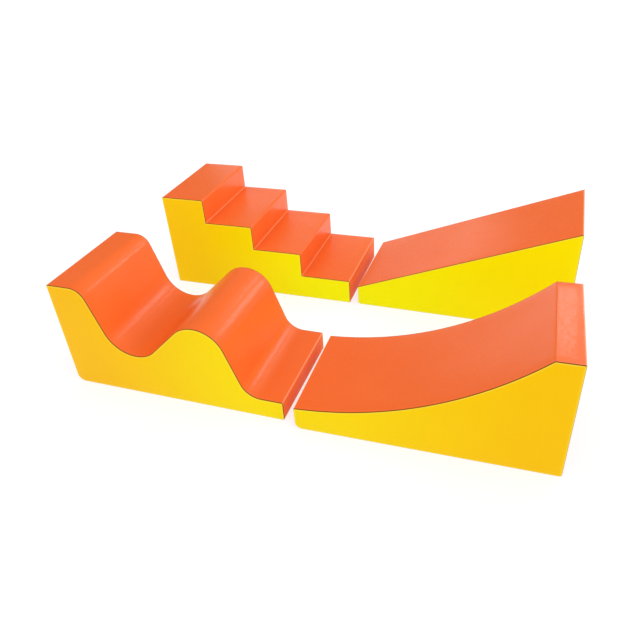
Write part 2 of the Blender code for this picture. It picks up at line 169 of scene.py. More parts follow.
def arc(centre: tuple, radius: float, start: float, end: float) -> Array:
    """Points on an arc: the centre plus the radius times the cosine and sine of evenly spread angles.

    Args:
        centre: The arc's centre.
        radius: Its radius.
        start: The angle it starts at.
        end: The angle it ends at.

    Returns:
        The points, one in each row.
    """
    step = min(STEP.arc_step, STEP.spacing / radius)
    angles = np.linspace(start, end, max(2, math.ceil(abs(end - start) / step) + 1))
    return np.array(centre) + radius * np.stack([np.cos(angles), np.sin(angles)], axis=1)


def rounded_corner(before: Array, corner: Array, after: Array, radius: float) -> Array:
    """Rounds a corner off: the arc's centre lies on the line that halves the corner, at the radius over the
    sine of half its angle, and the arc ends where it touches both sides.

    Args:
        before: A point on the side that comes in.
        corner: The sharp corner.
        after: A point on the side that goes out.
        radius: The radius of the rounding. Zero leaves the corner as it is.

    Returns:
        The points of the arc, from the side that comes in to the side that goes out.
    """
    if radius == 0.0:
        return np.array([corner], float)
    sides = unit(np.array([before, after], float) - np.array(corner, float))
    half = math.acos(float(sides[0] @ sides[1])) / 2
    centre = corner + unit(sides.sum(axis=0)) * radius / math.sin(half)
    ends = corner + sides * radius / math.tan(half) - centre
    start, end = np.arctan2(ends[:, 1], ends[:, 0])
    end -= 2 * math.pi * round((end - start) / (2 * math.pi))
    return arc(centre, radius, start, end)


def walked(points: Array) -> Array:
    """The distance walked along a line to each of its points."""
    steps = np.linalg.norm(np.diff(points, axis=0), axis=1)
    return np.concatenate([[0.0], np.cumsum(steps)])


def at_distance(points: Array, distance: Array) -> Array:
    """The points that lie at given distances along a line."""
    own = walked(points)
    return np.stack([np.interp(distance, own, column) for column in points.T], axis=1)


def joined(*lines: Array) -> Array:
    """Lines joined end to end, with a point that two of them share kept once."""
    points = np.concatenate(lines)
    apart = np.linalg.norm(np.diff(points, axis=0), axis=1) > STEP.hair
    return points[np.concatenate([[True], apart])]


def levels(points: Array, spacing: float = math.inf) -> Array:
    """Where a side of a panel gets its points: at its own bends, and evenly between two bends that lie more
    than the spacing apart.

    Args:
        points: The side as a line.
        spacing: The most between two points. Endless leaves the bends alone.

    Returns:
        The shares of the side's length, from 0 to 1.
    """
    own = walked(points)
    total = own[-1]
    pieces = np.maximum(np.ceil(np.diff(own) / spacing - STEP.spare), 1.0)
    begun = np.concatenate([[0.0], np.cumsum(pieces)])
    own = np.interp(np.arange(begun[-1] + 1.0), begun, own)
    return thinned(own / total, total)


def thinned(shares: Array, length: float) -> Array:
    """Shares of a length in rising order, with those left out that nearly repeat another. Both ends are kept.

    Args:
        shares: The shares, from 0 to 1.
        length: The length.

    Returns:
        The shares that are left.
    """
    inside = shares[(shares * length > STEP.least) & ((1.0 - shares) * length > STEP.least)]
    apart = np.diff(inside, prepend=-1.0) * length > STEP.least
    return np.concatenate([[0.0], inside[apart], [1.0]])


def grid_faces(numbers: Array, closed: bool = False) -> Array:
    """The quads of a grid of points. They turn from a row's own direction towards the next row.

    Args:
        numbers: The points' numbers, row by row.
        closed: Whether each row runs round to its own start.

    Returns:
        The faces.
    """
    if closed:
        numbers = np.hstack([numbers, numbers[:, :1]])
    corners = [numbers[:-1, :-1], numbers[:-1, 1:], numbers[1:, 1:], numbers[1:, :-1]]
    return np.stack(corners, axis=2).reshape(-1, 4)


class Meeting(Enum):
    """How a panel ends: over a rounded edge of the foam, against a neighbour in its own plane or in an
    inner corner, or folded over beside the zip."""

    EDGE = "edge"
    BUTT = "butt"
    MOUTH = "mouth"


@dataclass(frozen=True)
class SeamStyle:
    """How the panels of a cover turn in at their seams."""

    rounding: float = 0.0050
    tuck: float = 0.0012
    mouth_tuck: float = 0.0006
    half_gap: float = 0.00012
    tail: float = 0.0020
    mouth_tail: float = 0.0004
    rounding_points: int = 6
    tuck_points: int = 6
    least_corner: float = 0.05  # the sine of a panel corner's turn under which it counts as a bend

    def section(self, meeting: Meeting, turn: float = math.pi / 2, share: float = 0.5) -> Array:
        """The section of a panel where it ends, from its flat part to the end of its hidden allowance.

        Over an edge the panel first follows a circle that touches both faces, up to its share of the turn,
        and then a small circle that ends square to the seam. Where the edge is plain it follows the small
        circle alone. The last point is the end of the straight allowance.

        Args:
            meeting: How the panel ends.
            turn: The angle between the two faces' normals, negative in an inner corner.
            share: The part of that turn that this panel covers.

        Returns:
            Two rows: how far inside the sharp edge each point lies, and how deep under the face.
        """
        if meeting is Meeting.EDGE:
            seam_angle = share * turn
            lean = math.asin((self.tuck + self.half_gap) / (self.rounding - self.tuck))
            start = seam_angle - lean
            reach = self.rounding * math.tan(turn / 2)
            round_angles = np.linspace(0.0, start, self.rounding_points)
            outer = self._circle(reach, self.rounding, self.rounding, round_angles)
            inner = self.rounding - self.tuck
            centre = (reach - inner * math.sin(start), self.rounding - inner * math.cos(start))
            end, tail, tuck = seam_angle + math.pi / 2, self.tail, self.tuck
        else:
            tuck = self.mouth_tuck if meeting is Meeting.MOUTH else self.tuck
            tail = self.mouth_tail if meeting is Meeting.MOUTH else self.tail
            start, end = 0.0, math.pi / 2 + turn / 2
            centre = (tuck * math.tan(min(end, math.pi / 2) / 2) + self.half_gap, tuck)
            flat = np.linspace(self.rounding, centre[0], self.rounding_points)
            outer = np.stack([flat, np.zeros_like(flat)])
        inner_angles = np.linspace(start, end, self.tuck_points)[1:]
        turned = self._circle(*centre, tuck, inner_angles)
        last = turned[:, -1] + tail * np.array([-math.cos(end), math.sin(end)])
        return np.concatenate([outer, turned, last[:, None]], axis=1)

    @staticmethod
    def _circle(reach: float, depth: float, radius: float, angles: Array) -> Array:
        """Points on a circle about a centre, at angles from straight up towards the edge."""
        return np.stack([reach - radius * np.sin(angles), depth - radius * np.cos(angles)])


SEAMS = SeamStyle()


@dataclass
class Side:
    """One side of a panel: its line in the flat layout, and its section there.

    The line has the panel on its left. The side is pale where the vinyl on both sides of its seam has one
    colour, and the seam then carries a painted light line along its fold in place of the painted seam shade.
    """

    line: Array
    section: Array
    pale: bool = False


@dataclass(frozen=True)
class Fullness:
    """How the foam fills a panel: its crown, and the soft puckers that the seams pull into it."""

    crown: float = 0.0016
    crown_reach: float = 0.022
    pucker: float = 0.00022
    pucker_reach: float = 0.016
    pucker_length: float = 0.034
    pucker_length_shares: tuple[float, ...] = (1.0, 1.37, 0.71)
    drift: float = 0.0005
    drift_length: float = 0.21
    drift_waves: int = 3

    def depth(self, distance: Array, along: Array, spot: Array, seed: int) -> Array:
        """How deep each inner point lies. The crown rises as one less the exponential of minus the square of
        the distance over its reach. The puckers are sines along the seam that fade with the distance, and
        the drift is a sum of slow waves over the whole panel.

        Args:
            distance: From the edge of the flat part.
            along: The distance along the seam at the nearest seam point.
            spot: The points in the flat layout.
            seed: Makes each panel's puckers its own.

        Returns:
            The depths, negative where the panel stands proud.
        """
        draw = np.random.default_rng(seed)
        rise = 1.0 - np.exp(-((distance / self.crown_reach) ** 2))
        ripple = np.zeros_like(distance)
        for share in self.pucker_length_shares:
            phase = draw.uniform(0.0, 2 * math.pi)
            ripple += np.sin(2 * math.pi * along / (self.pucker_length * share) + phase)
        fade = np.exp(-distance / self.pucker_reach) * np.minimum(distance / STEP.corner_clear, 1.0)
        slow = np.zeros_like(distance)
        for _ in range(self.drift_waves):
            heading, phase = draw.uniform(0.0, 2 * math.pi, 2)
            direction = np.array([math.cos(heading), math.sin(heading)])
            slow += np.sin(2 * math.pi * (spot @ direction) / self.drift_length + phase)
        drift = self.drift / self.drift_waves * slow
        return -self.crown * rise - self.pucker * ripple * fade - drift * rise


FLAT = Fullness(crown=0.0, pucker=0.0, drift=0.0)


@dataclass
class Surface:
    """A sheet of mesh in a block's frame: its points, its faces, its flat layout, and how far its points lie
    from the seams and from the pale folds."""

    points: Array
    faces: Array
    layout: Array
    seam: Array | None = None
    fold: Array | None = None

    def flipped(self) -> "Surface":
        """The same sheet with its faces turned round."""
        return replace(self, faces=self.faces[:, ::-1])


@dataclass
class Loop:
    """The points round a panel, side after side, and what its side is like at each of them.

    Attributes:
        points: The flat points.
        before: The inward normal of the stretch that ends at each point.
        after: The inward normal of the stretch that starts there.
        from_start: The way along its side to the point.
        to_end: The way from there to the side's end.
        owner: The number of the point's side.
        corners: The numbers of the four corner points.
    """

    points: Array
    before: Array
    after: Array
    from_start: Array
    to_end: Array
    owner: Array
    corners: Array

    @classmethod
    def of_sides(cls, lines: list[Array], places: list[Array]) -> "Loop":
        """Takes points from the four sides.

        Args:
            lines: The sides as lines, each from the corner that the last one ends at.
            places: The distances along each side at which it has points, with both of its ends.

        Returns:
            The loop.
        """
        parts, last_normals = [], []
        for number, (line, along) in enumerate(zip(lines, places, strict=True)):
            own, edges = walked(line), unit(np.diff(line, axis=0))
            normals = np.stack([-edges[:, 1], edges[:, 0]], axis=1)
            spots = along[:-1]
            ended, begun = (
                np.clip(np.searchsorted(own, spots + hair) - 1, 0, len(edges) - 1)
                for hair in (-STEP.hair, STEP.hair)
            )
            owner = np.full(len(spots), number)
            parts.append(
                (at_distance(line, spots), normals[ended], normals[begun], spots, own[-1] - spots, owner)
            )
            last_normals.append(normals[-1])
        corners = np.cumsum([0] + [len(part[0]) for part in parts[:-1]])
        loop = cls(*(np.concatenate(column) for column in zip(*parts, strict=True)), corners)
        loop.before[corners] = np.roll(last_normals, 1, axis=0)
        return loop

    def distance_to(self, wanted: Array, across: Array) -> Array:
        """How far the points of each ring lie from the nearest wanted side: on such a side, the distance
        across the ring; on another side, the way to a wanted neighbour, to which the distance across is
        added close to the corner, as the rings meet there at equal distances from both sides.

        Args:
            wanted: Whether each of the four sides is wanted.
            across: Each ring's distance from its own side.

        Returns:
            The distances, a row for each ring.
        """
        found = np.full((len(across), len(self.owner)), FAR_AWAY)
        for way, neighbour in ((self.from_start, -1), (self.to_end, 1)):
            close = np.clip(1.0 - way / STEP.corner_clear, 0.0, 1.0)
            reached = wanted[(self.owner + neighbour) % 4]
            found = np.where(reached, np.minimum(found, way + close * across[:, None]), found)
        return np.where(wanted[self.owner], across[:, None], found)

    def moved_in(self, sections: Array) -> tuple[Array, Array]:
        """How far each point moves for each point of its side's section, and how deep it lies there.

        A point moves in square to its side, and at a bend to where both moved stretches cross: the sum of
        the two normals over one plus their product. A corner point moves to where it lies as far from each
        side as that side's own section says, unless its sides are nearly in line. Close to a corner the
        points are squeezed along their side, so that none passes the moved corner.

        Args:
            sections: The four sides' sections.

        Returns:
            The moves and the depths, a row for each point and a column for each point of the section.
        """
        own = sections[self.owner]
        reach, depth = own[:, 0, :], own[:, 1, :].copy()
        crossing = (self.before + self.after) / (1.0 + (self.before * self.after).sum(axis=1, keepdims=True))
        moved = reach[:, :, None] * crossing[:, None, :]
        for number, corner in enumerate(self.corners):
            first, second = sections[number - 1], sections[number]
            normals = np.array([self.before[corner], self.after[corner]])
            if np.linalg.det(normals) > SEAMS.least_corner:
                moved[corner] = np.stack([first[0], second[0]], axis=1) @ np.linalg.inv(normals).T
            depth[corner] = (first[1] + second[1]) / 2
        along = np.stack([self.after[:, 1], -self.after[:, 0]], axis=1)
        squeezed = moved.copy()
        for number, corner in enumerate(self.corners):
            following = self.corners[(number + 1) % 4]
            inside = np.flatnonzero(self.owner == number)[1:]
            ended = np.array([self.before[following, 1], -self.before[following, 0]])
            starts, ends = moved[corner] @ along[corner], -moved[following] @ ended
            near = np.clip(1.0 - self.from_start[inside] / STEP.corner_clear, 0.0, 1.0)
            far = np.clip(1.0 - self.to_end[inside] / STEP.corner_clear, 0.0, 1.0)
            shift = near[:, None] * starts[None] - far[:, None] * ends[None]
            squeezed[inside] += shift[:, :, None] * along[inside][:, None, :]
        return squeezed, depth


@dataclass
class Panel:
    """A panel with four sides, laid out flat.

    Attributes:
        sides: The bottom, right, top and left side, each from the corner that the last one ends at.
        match: Where points of the top side, as shares of its length, have their partners on the bottom side.
        seed: Makes its puckers its own.
        fullness: How the foam fills it.
        spacing: The most between two of its points.
    """

    sides: tuple[Side, Side, Side, Side]
    match: tuple[Array, Array] = field(default_factory=lambda: (np.array([0.0, 1.0]),) * 2)
    seed: int = 0
    fullness: Fullness = field(default_factory=Fullness)
    spacing: float = STEP.spacing
    fine_stages: int = 3001  # for reading a stage off a rise
    measured_at_once: int = 2000  # points, to spare memory

    def surface(self, lift: Lift) -> Surface:
        """Builds the panel: rings that follow its four sides, one for each point of their sections, and a
        grid inside them.

        Args:
            lift: Takes flat points and their depths to points of the block's frame.

        Returns:
            The sheet, with its faces outwards.
        """
        loop, columns, stages = self._loop()
        rings = self._rings(loop)
        rim, spots, grid = self._filled(rings[0][0], columns, stages)
        distance, along = self._nearest(spots, rim)
        depth = self.fullness.depth(distance, along, spots, self.seed)
        layout = np.concatenate([ring for ring, _ in rings[::-1]] + [spots])
        depths = np.concatenate([deep for _, deep in rings[::-1]] + [depth])
        folded = walked(self.sides[0].section.T)
        to_seam = np.abs(folded - folded[-2])
        pale = np.array([side.pale for side in self.sides])
        inside = distance + to_seam[0]
        seam, fold = (
            np.concatenate([loop.distance_to(wanted, to_seam[::-1]).ravel(), inside])
            for wanted in (~pale, pale)
        )
        band = grid_faces(np.arange(len(rings) * len(rim)).reshape(len(rings), -1), closed=True)
        faces = np.concatenate([band, grid_faces(grid + (len(rings) - 1) * len(rim))])
        return Surface(lift(layout, depths), faces, layout, seam, fold)

    def outline_and_spots(self) -> tuple[Array, Array, Array]:
        """The innermost ring, the points inside it and the grid that numbers both."""
        loop, columns, stages = self._loop()
        return self._filled(self._rings(loop)[0][0], columns, stages)

    def _filled(self, rim: Array, columns: int, stages: Array) -> tuple[Array, Array, Array]:
        """Fills the innermost ring, the rim, with columns of points at the stages, and numbers the grid."""
        grid = self._grid_numbers(len(rim), columns, len(stages))
        return rim, self._inner_spots(rim, grid, stages), grid

    def _loop(self) -> tuple[Loop, int, Array]:
        """The points round the panel, how many columns they make, and the stages of their rows."""
        lines = [side.line for side in self.sides]
        bottom, right, top, left = lines
        long_bottom, tall_right, long_top, tall_left = (walked(line)[-1] for line in lines)
        top_shares, bottom_shares = self.match
        over_bends = np.interp(levels(bottom), bottom_shares, top_shares)
        across = thinned(np.union1d(1.0 - levels(top, self.spacing), over_bends), long_top)
        stages = self._stages(left[::-1], right)
        places = [
            np.interp(across, top_shares, bottom_shares) * long_bottom,
            self._rises(stages, tall_right),
            (1.0 - across[::-1]) * long_top,
            tall_left - self._rises(stages, tall_left)[::-1],
        ]
        return Loop.of_sides(lines, places), len(across), stages

    @staticmethod
    def _rises(stages: Array, height: Array | float) -> Array:
        """How far up a column of the panel its rows lie. A row's stage runs from 0 at the bottom to 3 at the
        top. The first and the last stage span a fixed margin, or a third of a low column, and the middle
        stage spans the rest, so that rows keep their distance from a seam however the height changes.

        Args:
            stages: The stage of each row.
            height: The height of the column or columns.

        Returns:
            The rises, with a row for each stage where there are several columns.
        """
        margin = np.minimum(STEP.row_margin, np.asarray(height) / 3)
        first, middle, last = (np.clip(stages - start, 0.0, 1.0) for start in (0.0, 1.0, 2.0))
        shape = (-1,) + (1,) * np.ndim(height)
        first, middle, last = (part.reshape(shape) for part in (first, middle, last))
        return (first + last) * margin + middle * (height - 2 * margin)

    def _stages(self, left: Array, right: Array) -> Array:
        """The stages of the rows: even ones for the taller side, and those at the bends of both sides."""
        tall, low = (left, right) if walked(left)[-1] >= walked(right)[-1] else (right, left)
        every = np.linspace(0.0, 3.0, self.fine_stages)
        found = []
        for line, spacing in ((tall, self.spacing), (low, math.inf)):
            length = walked(line)[-1]
            found.append(np.interp(levels(line, spacing) * length, self._rises(every, length), every))
        height = walked(tall)[-1]
        rises = self._rises(np.union1d(*found), height)
        return np.interp(thinned(rises / height, height) * height, self._rises(every, height), every)

    def _rings(self, loop: Loop) -> list[tuple[Array, Array]]:
        """Each ring's flat points and depths, from the innermost ring to the end of the allowance."""
        sections = np.stack([side.section for side in self.sides])
        moved, depth = loop.moved_in(sections)
        return [(loop.points + moved[:, k], depth[:, k]) for k in range(sections.shape[2])]

    @staticmethod
    def _grid_numbers(count: int, columns: int, rows: int) -> Array:
        """Numbers the grid inside the innermost ring: its rim by the ring's points, the rest after them."""
        ring = np.arange(count)
        grid = np.zeros((rows, columns), int)
        grid[0] = ring[:columns]
        grid[:, -1] = ring[columns - 1 : columns + rows - 1]
        grid[-1] = ring[columns + rows - 2 : 2 * columns + rows - 2][::-1]
        grid[1:, 0] = ring[2 * columns + rows - 3 :][::-1]
        inner = (rows - 2) * (columns - 2)
        grid[1:-1, 1:-1] = count + np.arange(inner).reshape(rows - 2, columns - 2)
        return grid

    def _inner_spots(self, ring: Array, grid: Array, stages: Array) -> Array:
        """The flat points inside the innermost ring. A column runs straight from its bottom point to its top
        point, and each row is then moved by what its two ends still lack, shared out along the row.

        Args:
            ring: The innermost ring.
            grid: The numbers of the grid's points.
            stages: The stages of the rows.

        Returns:
            The points, row by row.
        """
        bottom, top = ring[grid[0]], ring[grid[-1]]
        height = np.linalg.norm(top - bottom, axis=1)
        climb = (self._rises(stages, height) / height)[:, :, None]
        columns = bottom[None] * (1 - climb) + top[None] * climb
        across = (walked(bottom) / walked(bottom)[-1])[None, :, None]
        left_lack = (ring[grid[:, 0]] - columns[:, 0])[:, None]
        right_lack = (ring[grid[:, -1]] - columns[:, -1])[:, None]
        spots = columns + (1 - across) * left_lack + across * right_lack
        return spots[1:-1, 1:-1].reshape(-1, 2)

    def _nearest(self, spots: Array, ring: Array) -> tuple[Array, Array]:
        """How far each inner point lies from the ring, and where along the ring that is: the foot of the
        perpendicular on the nearest piece of the ring."""
        start, step = ring, np.roll(ring, -1, axis=0) - ring
        length = np.linalg.norm(step, axis=1)
        begun = np.concatenate([[0.0], np.cumsum(length)[:-1]])
        distance, along = np.empty(len(spots)), np.empty(len(spots))
        for part in np.array_split(np.arange(len(spots)), max(1, len(spots) // self.measured_at_once)):
            away = spots[part][:, None, :] - start[None]
            share = np.clip((away * step).sum(axis=2) / length**2, 0.0, 1.0)
            gap = np.linalg.norm(away - share[:, :, None] * step, axis=2)
            nearest = gap.argmin(axis=1)
            rows = np.arange(len(part))
            distance[part] = gap[rows, nearest]
            along[part] = begun[nearest] + share[rows, nearest] * length[nearest]
        return distance, along


def straight(*corners: tuple) -> Array:
    """A line through corners."""
    return np.array(corners, float)


def upright(flat: Array, depth: Array) -> Array:
    """Stands flat points up in a block, each at its own depth behind the front."""
    return np.stack([flat[:, 0], depth, flat[:, 1]], axis=1)


@dataclass(frozen=True)
class Run:
    """A line round a block's outline, clockwise seen from the front, that a panel follows.

    Attributes:
        points: The x, z points of the line.
        lead: The turn at its start, where the panel before it ends.
        trail: The turn at its end.
    """

    points: Array
    lead: float
    trail: float

    def lifted(self, flat: Array, depth: Array) -> Array:
        """Takes flat points to the block: p is the distance walked along the run, q the way across the
        block, and the depth goes in along the run's normal. Past its ends the run goes straight on."""
        points = self.points
        first, last = unit(points[1] - points[0]), unit(points[-1] - points[-2])
        overrun = STEP.spacing
        longer = np.vstack([points[0] - overrun * first, points, points[-1] + overrun * last])
        edges = unit(np.diff(longer, axis=0))
        slopes = unit(np.vstack([edges[:1], edges[1:] + edges[:-1], edges[-1:]]))
        normals = np.stack([-slopes[:, 1], slopes[:, 0]], axis=1)
        own = walked(longer) - overrun
        spot, normal = (
            np.stack([np.interp(flat[:, 0], own, column) for column in columns.T], axis=1)
            for columns in (longer, normals)
        )
        return upright(spot - depth[:, None] * unit(normal), flat[:, 1])


def turn_at(before: Array, corner: Array, after: Array) -> float:
    """How far a clockwise outline turns right at a corner."""
    first, second = unit(corner - before), unit(after - corner)
    return math.atan2(first[1] * second[0] - first[0] * second[1], float(first @ second))


def cut_at(line: Array, height: float) -> tuple[Array, Array]:
    """Cuts a rising line in two: the part below a height, and the part above it."""
    share = np.interp(height, line[:, 1], walked(line))
    cut = at_distance(line, np.array([share]))
    below, above = line[line[:, 1] < height - STEP.hair], line[line[:, 1] > height + STEP.hair]
    return np.vstack([below, cut]), np.vstack([cut, above])


class Profile(ABC):
    """A block's outline as seen from the front."""

    size: BlockSize
    left_foot: float
    right_foot: float

    @abstractmethod
    def top_lines(self) -> list[Array]:
        """The climbing surface from left to right, one line for each panel."""

    def top(self) -> Array:
        """The whole climbing surface as one line."""
        return joined(*self.top_lines())

    def lines(self) -> dict[str, list[Array]]:
        """The lines of the outline, clockwise, under the names of the panels that follow them."""
        top = self.top()
        left, right = self._feet(top)
        return {
            "top": self.top_lines(),
            "right_end": [joined(top[-1:], right)],
            "base": [joined(right[-1:], left[:1])],
            "left_end": [joined(left, top[:1])],
        }

    def _feet(self, top: Array) -> tuple[Array, Array]:
        """The left foot's rounding from the floor up, and the right foot's from its end down."""
        low_left, low_right = np.zeros(2), np.array([self.size.length, 0.0])
        left = rounded_corner(low_right, low_left, top[0], self.left_foot)
        return left, rounded_corner(top[-1], low_right, low_left, self.right_foot)

    def rims(self) -> tuple[Array, Array, Array, Array]:
        """The outline as a side panel has it: its bottom from left to right, its right end from the bottom
        up, its top from right to left and its left end from the bottom up. A rounded foot is halved between
        the bottom and the end, so that the panel's grid opens evenly there."""
        top = self.top()
        left, right = self._feet(top)
        left_half, right_half = len(left) // 2, len(right) // 2
        bottom = joined(left[: left_half + 1][::-1], right[right_half:][::-1])
        right_end = joined(right[: right_half + 1][::-1], top[-1:])
        return bottom, right_end, top[::-1], joined(left[left_half:], top[:1])

    def runs(self) -> dict[str, list[Run]]:
        """The same lines with the turns at their ends."""
        named = self.lines()
        order = [(name, line) for name, group in named.items() for line in group]
        found: dict[str, list[Run]] = {name: [] for name in named}
        for number, (name, line) in enumerate(order):
            before, after = order[number - 1][1], order[(number + 1) % len(order)][1]
            lead = turn_at(before[-2], line[0], line[1])
            trail = turn_at(line[-2], line[-1], after[1])
            found[name].append(Run(line, lead, trail))
        return found

    def partners(self) -> tuple[Array, Array]:
        """Points of the climbing surface, as distances walked along it, and their places on the floor."""
        top = self.top()
        return walked(top), top[:, 0]

    def match(self) -> tuple[Array, Array]:
        """The same points and places as shares of the climbing surface and of the floor."""
        distance, floor = self.partners()
        return distance / distance[-1], floor / self.size.length


@dataclass
class WaveProfile(Profile):
    """The wave, from its high end: a flat crest, a dip, a lower hump and a flat tail."""

    size: BlockSize
    crest_run: float = 0.131
    dip_height: float = 0.240
    hump_height: float = 0.467
    tail_run: float = 0.111
    tail_height: float = 0.108
    left_foot: float = 0.040
    right_foot: float = 0.010
    dip_place_share: float = 0.302
    hump_place_share: float = 0.680
    crest_radius_share: float = 0.084
    dip_radius_share: float = 0.168
    hump_radius_share: float = 0.157
    tail_radius_share: float = 0.110

    def top_lines(self) -> list[Array]:
        """One line through four bends. A straight run touches two bends at the angle of the line between
        their centres, turned by the angle whose sine is the difference of the signed radii over the
        distance between the centres."""
        length, height = self.size.length, self.size.height
        run = length - self.crest_run - self.tail_run
        bends = np.array(
            [
                (0.0, height, self.crest_radius_share),
                (self.dip_place_share, self.dip_height, -self.dip_radius_share),
                (self.hump_place_share, self.hump_height, self.hump_radius_share),
                (1.0, self.tail_height, -self.tail_radius_share),
            ]
        )
        radii = bends[:, 2] * run
        centres = np.stack([self.crest_run + bends[:, 0] * run, bends[:, 1] - radii], axis=1)
        steps = np.diff(centres, axis=0)
        turns = np.arcsin(np.diff(radii) / np.linalg.norm(steps, axis=1))
        angles = np.concatenate([[0.0], np.arctan2(steps[:, 1], steps[:, 0]) + turns, [0.0]])
        quarters = np.copysign(math.pi / 2, radii)
        arcs = [
            arc(centre, abs(radius), entry + quarter, leaving + quarter)
            for centre, radius, quarter, entry, leaving in zip(
                centres, radii, quarters, angles[:-1], angles[1:], strict=True
            )
        ]
        return [joined(straight((0.0, height)), *arcs, straight((length, self.tail_height)))]


@dataclass
class SlideProfile(Profile):
    """The slide, from its low end: a straight lip, a hollow run, a folded edge and a flat top."""

    size: BlockSize
    lip_height: float = 0.121
    lip_run: float = 0.050
    start_slope: float = math.radians(4.6)
    top_run: float = 0.112
    fold_radius: float = 0.012
    left_foot: float = 0.036
    right_foot: float = 0.010

    def top_lines(self) -> list[Array]:
        """One line: the hollow is an arc that leaves the lip at its slope and ends at the fold. Its radius
        is its chord over twice the sine of the angle between the chord and the slope."""
        start = self.start_slope
        lip = np.array([0.0, self.lip_height])
        lip_end = lip + self.lip_run * np.array([1.0, math.tan(start)])
        fold = np.array([self.size.length - self.top_run, self.size.height])
        chord = fold - lip_end
        lean = math.atan2(chord[1], chord[0])
        radius = float(np.linalg.norm(chord)) / (2 * math.sin(lean - start))
        centre = lip_end + radius * np.array([-math.sin(start), math.cos(start)])
        hollow = arc(centre, radius, start - math.pi / 2, 2 * lean - start - math.pi / 2)
        end = np.array([self.size.length, self.size.height])
        folded = rounded_corner(hollow[-2], fold, end, self.fold_radius)
        return [joined(lip[None], hollow[:-2], folded, end[None])]


@dataclass
class StepsProfile(Profile):
    """The steps, from their high end: each tread with the riser below it is one panel."""

    size: BlockSize
    count: int = 4
    top_tread_run: float = 0.280
    nosing_radius: float = 0.010
    left_foot: float = 0.0
    right_foot: float = 0.0
    riser_foot: float = 0.120  # the stretch of the floor that the points of a riser fan out to
    riser_lean: float = 0.010  # from that stretch to the foot of the riser, so that no two columns cross

    def noses(self) -> Array:
        """The sharp front edges of the upper steps, as x, z points."""
        tread = (self.size.length - self.top_tread_run) / (self.count - 1)
        steps = np.arange(self.count - 1)
        riser = self.size.height / self.count
        return np.stack([self.top_tread_run + steps * tread, self.size.height - steps * riser], axis=1)

    def top_lines(self) -> list[Array]:
        """A line for each step: along its tread, round its nosing and down its riser."""
        drop = np.array([0.0, self.size.height / self.count])
        start = np.array([0.0, self.size.height])
        found = []
        for nose in self.noses():
            foot = nose - drop
            nosing = rounded_corner(start, nose, foot, self.nosing_radius)
            found.append(joined(start[None], nosing, foot[None]))
            start = foot
        return [*found, np.array([start, [self.size.length, start[1]]])]

    def partners(self) -> tuple[Array, Array]:
        """A riser's points fan out over a short stretch of the floor behind it, and the tread above it
        takes the rest, so that no two columns of points cross."""
        top = self.top()
        distance = walked(top)
        nose_places, foot_places = [], []
        for line in self.top_lines()[:-1]:
            begun = nose_places[-1][1] if nose_places else 0.0
            nose = line[line[:, 1] > line[0, 1] - STEP.hair][-1]
            nose_places.append((begun + nose[0] - line[0, 0], begun + walked(line)[-1]))
            foot_places.append((line[-1, 0] - self.riser_foot, line[-1, 0] - self.riser_lean))
        knots = np.concatenate([[0.0], np.ravel(nose_places), distance[-1:]])
        feet = np.concatenate([[0.0], np.ravel(foot_places), [self.size.length]])
        return distance, np.interp(distance, knots, feet)


@dataclass
class RampProfile(Profile):
    """The ramp: one straight slope up from its low end."""

    size: BlockSize
    lip_height: float = 0.120
    left_foot: float = 0.015
    right_foot: float = 0.0

    def top_lines(self) -> list[Array]:
        """One straight line."""
        return [straight((0.0, self.lip_height), (self.size.length, self.size.height))]


PROFILES: dict[str, type[Profile]] = {
    "wave": WaveProfile,
    "slide": SlideProfile,
    "steps": StepsProfile,
    "ramp": RampProfile,
}


def make_piece(name: str, surface: Surface, place: BlockPlace, material: Material) -> Object:
    """Makes an object of a sheet: its place is in its mesh, its layout is its UV map, and its seam distances
    are an attribute.

    Args:
        name: The piece's name.
        surface: The sheet, in the block's frame.
        place: Where the block stands.
        material: The piece's material.

    Returns:
        The object, at the origin.
    """
    mesh = bpy.data.meshes.new(name)
    mesh.from_pydata(place.place(surface.points).tolist(), [], surface.faces.tolist())
    corners = np.empty(len(mesh.loops), np.int32)
    mesh.loops.foreach_get("vertex_index", corners)
    layer = mesh.uv_layers.new(name=LAYOUT_MAP)
    layer.data.foreach_set("uv", surface.layout[corners].astype(np.float32).ravel())
    for name_of, values in ((SEAM_ATTRIBUTE, surface.seam), (FOLD_ATTRIBUTE, surface.fold)):
        if values is not None:
            distances = mesh.attributes.new(name_of, "FLOAT", "POINT")
            distances.data.foreach_set("value", values.astype(np.float32))
    mesh.shade_smooth()
    mesh.materials.append(material)
    mesh.update()
    piece = bpy.data.objects.new(name, mesh)
    bpy.context.scene.collection.objects.link(piece)
    return piece


def thicken(piece: Object, thickness: float) -> None:
    """Gives a sheet its thickness on its inner side."""
    solid = piece.modifiers.new("thickness", "SOLIDIFY")
    solid.thickness = thickness
    solid.offset = -1.0


@dataclass(frozen=True)
class Slots:
    """The names of the record's material slots."""

    orange: str = "orange_vinyl"
    yellow: str = "yellow_vinyl"
    base: str = "base_vinyl"
    foam: str = "foam"
    tape: str = "zip_tape"
    metal: str = "zip_metal"


SLOTS = Slots()


# A screen's curve: straight up to its start, and a lifted power from there on
CURVE_START = 0.04045
CURVE_SLOPE = 12.92
CURVE_LIFT = 0.055
CURVE_POWER = 2.4


def linear(screen: Colour) -> tuple[float, float, float, float]:
    """A screen colour, from 0 to 255, as light: each level divided by 255, then the screen's curve undone."""
    level = np.array(screen) / 255.0
    curved = ((level + CURVE_LIFT) / (1.0 + CURVE_LIFT)) ** CURVE_POWER
    light = np.where(level <= CURVE_START, level / CURVE_SLOPE, curved)
    return (*(float(value) for value in light), 1.0)


def darkened(screen: Colour, share: float) -> Colour:
    """A screen colour with each level cut down to a share of it."""
    return tuple(int(level * share) for level in screen)


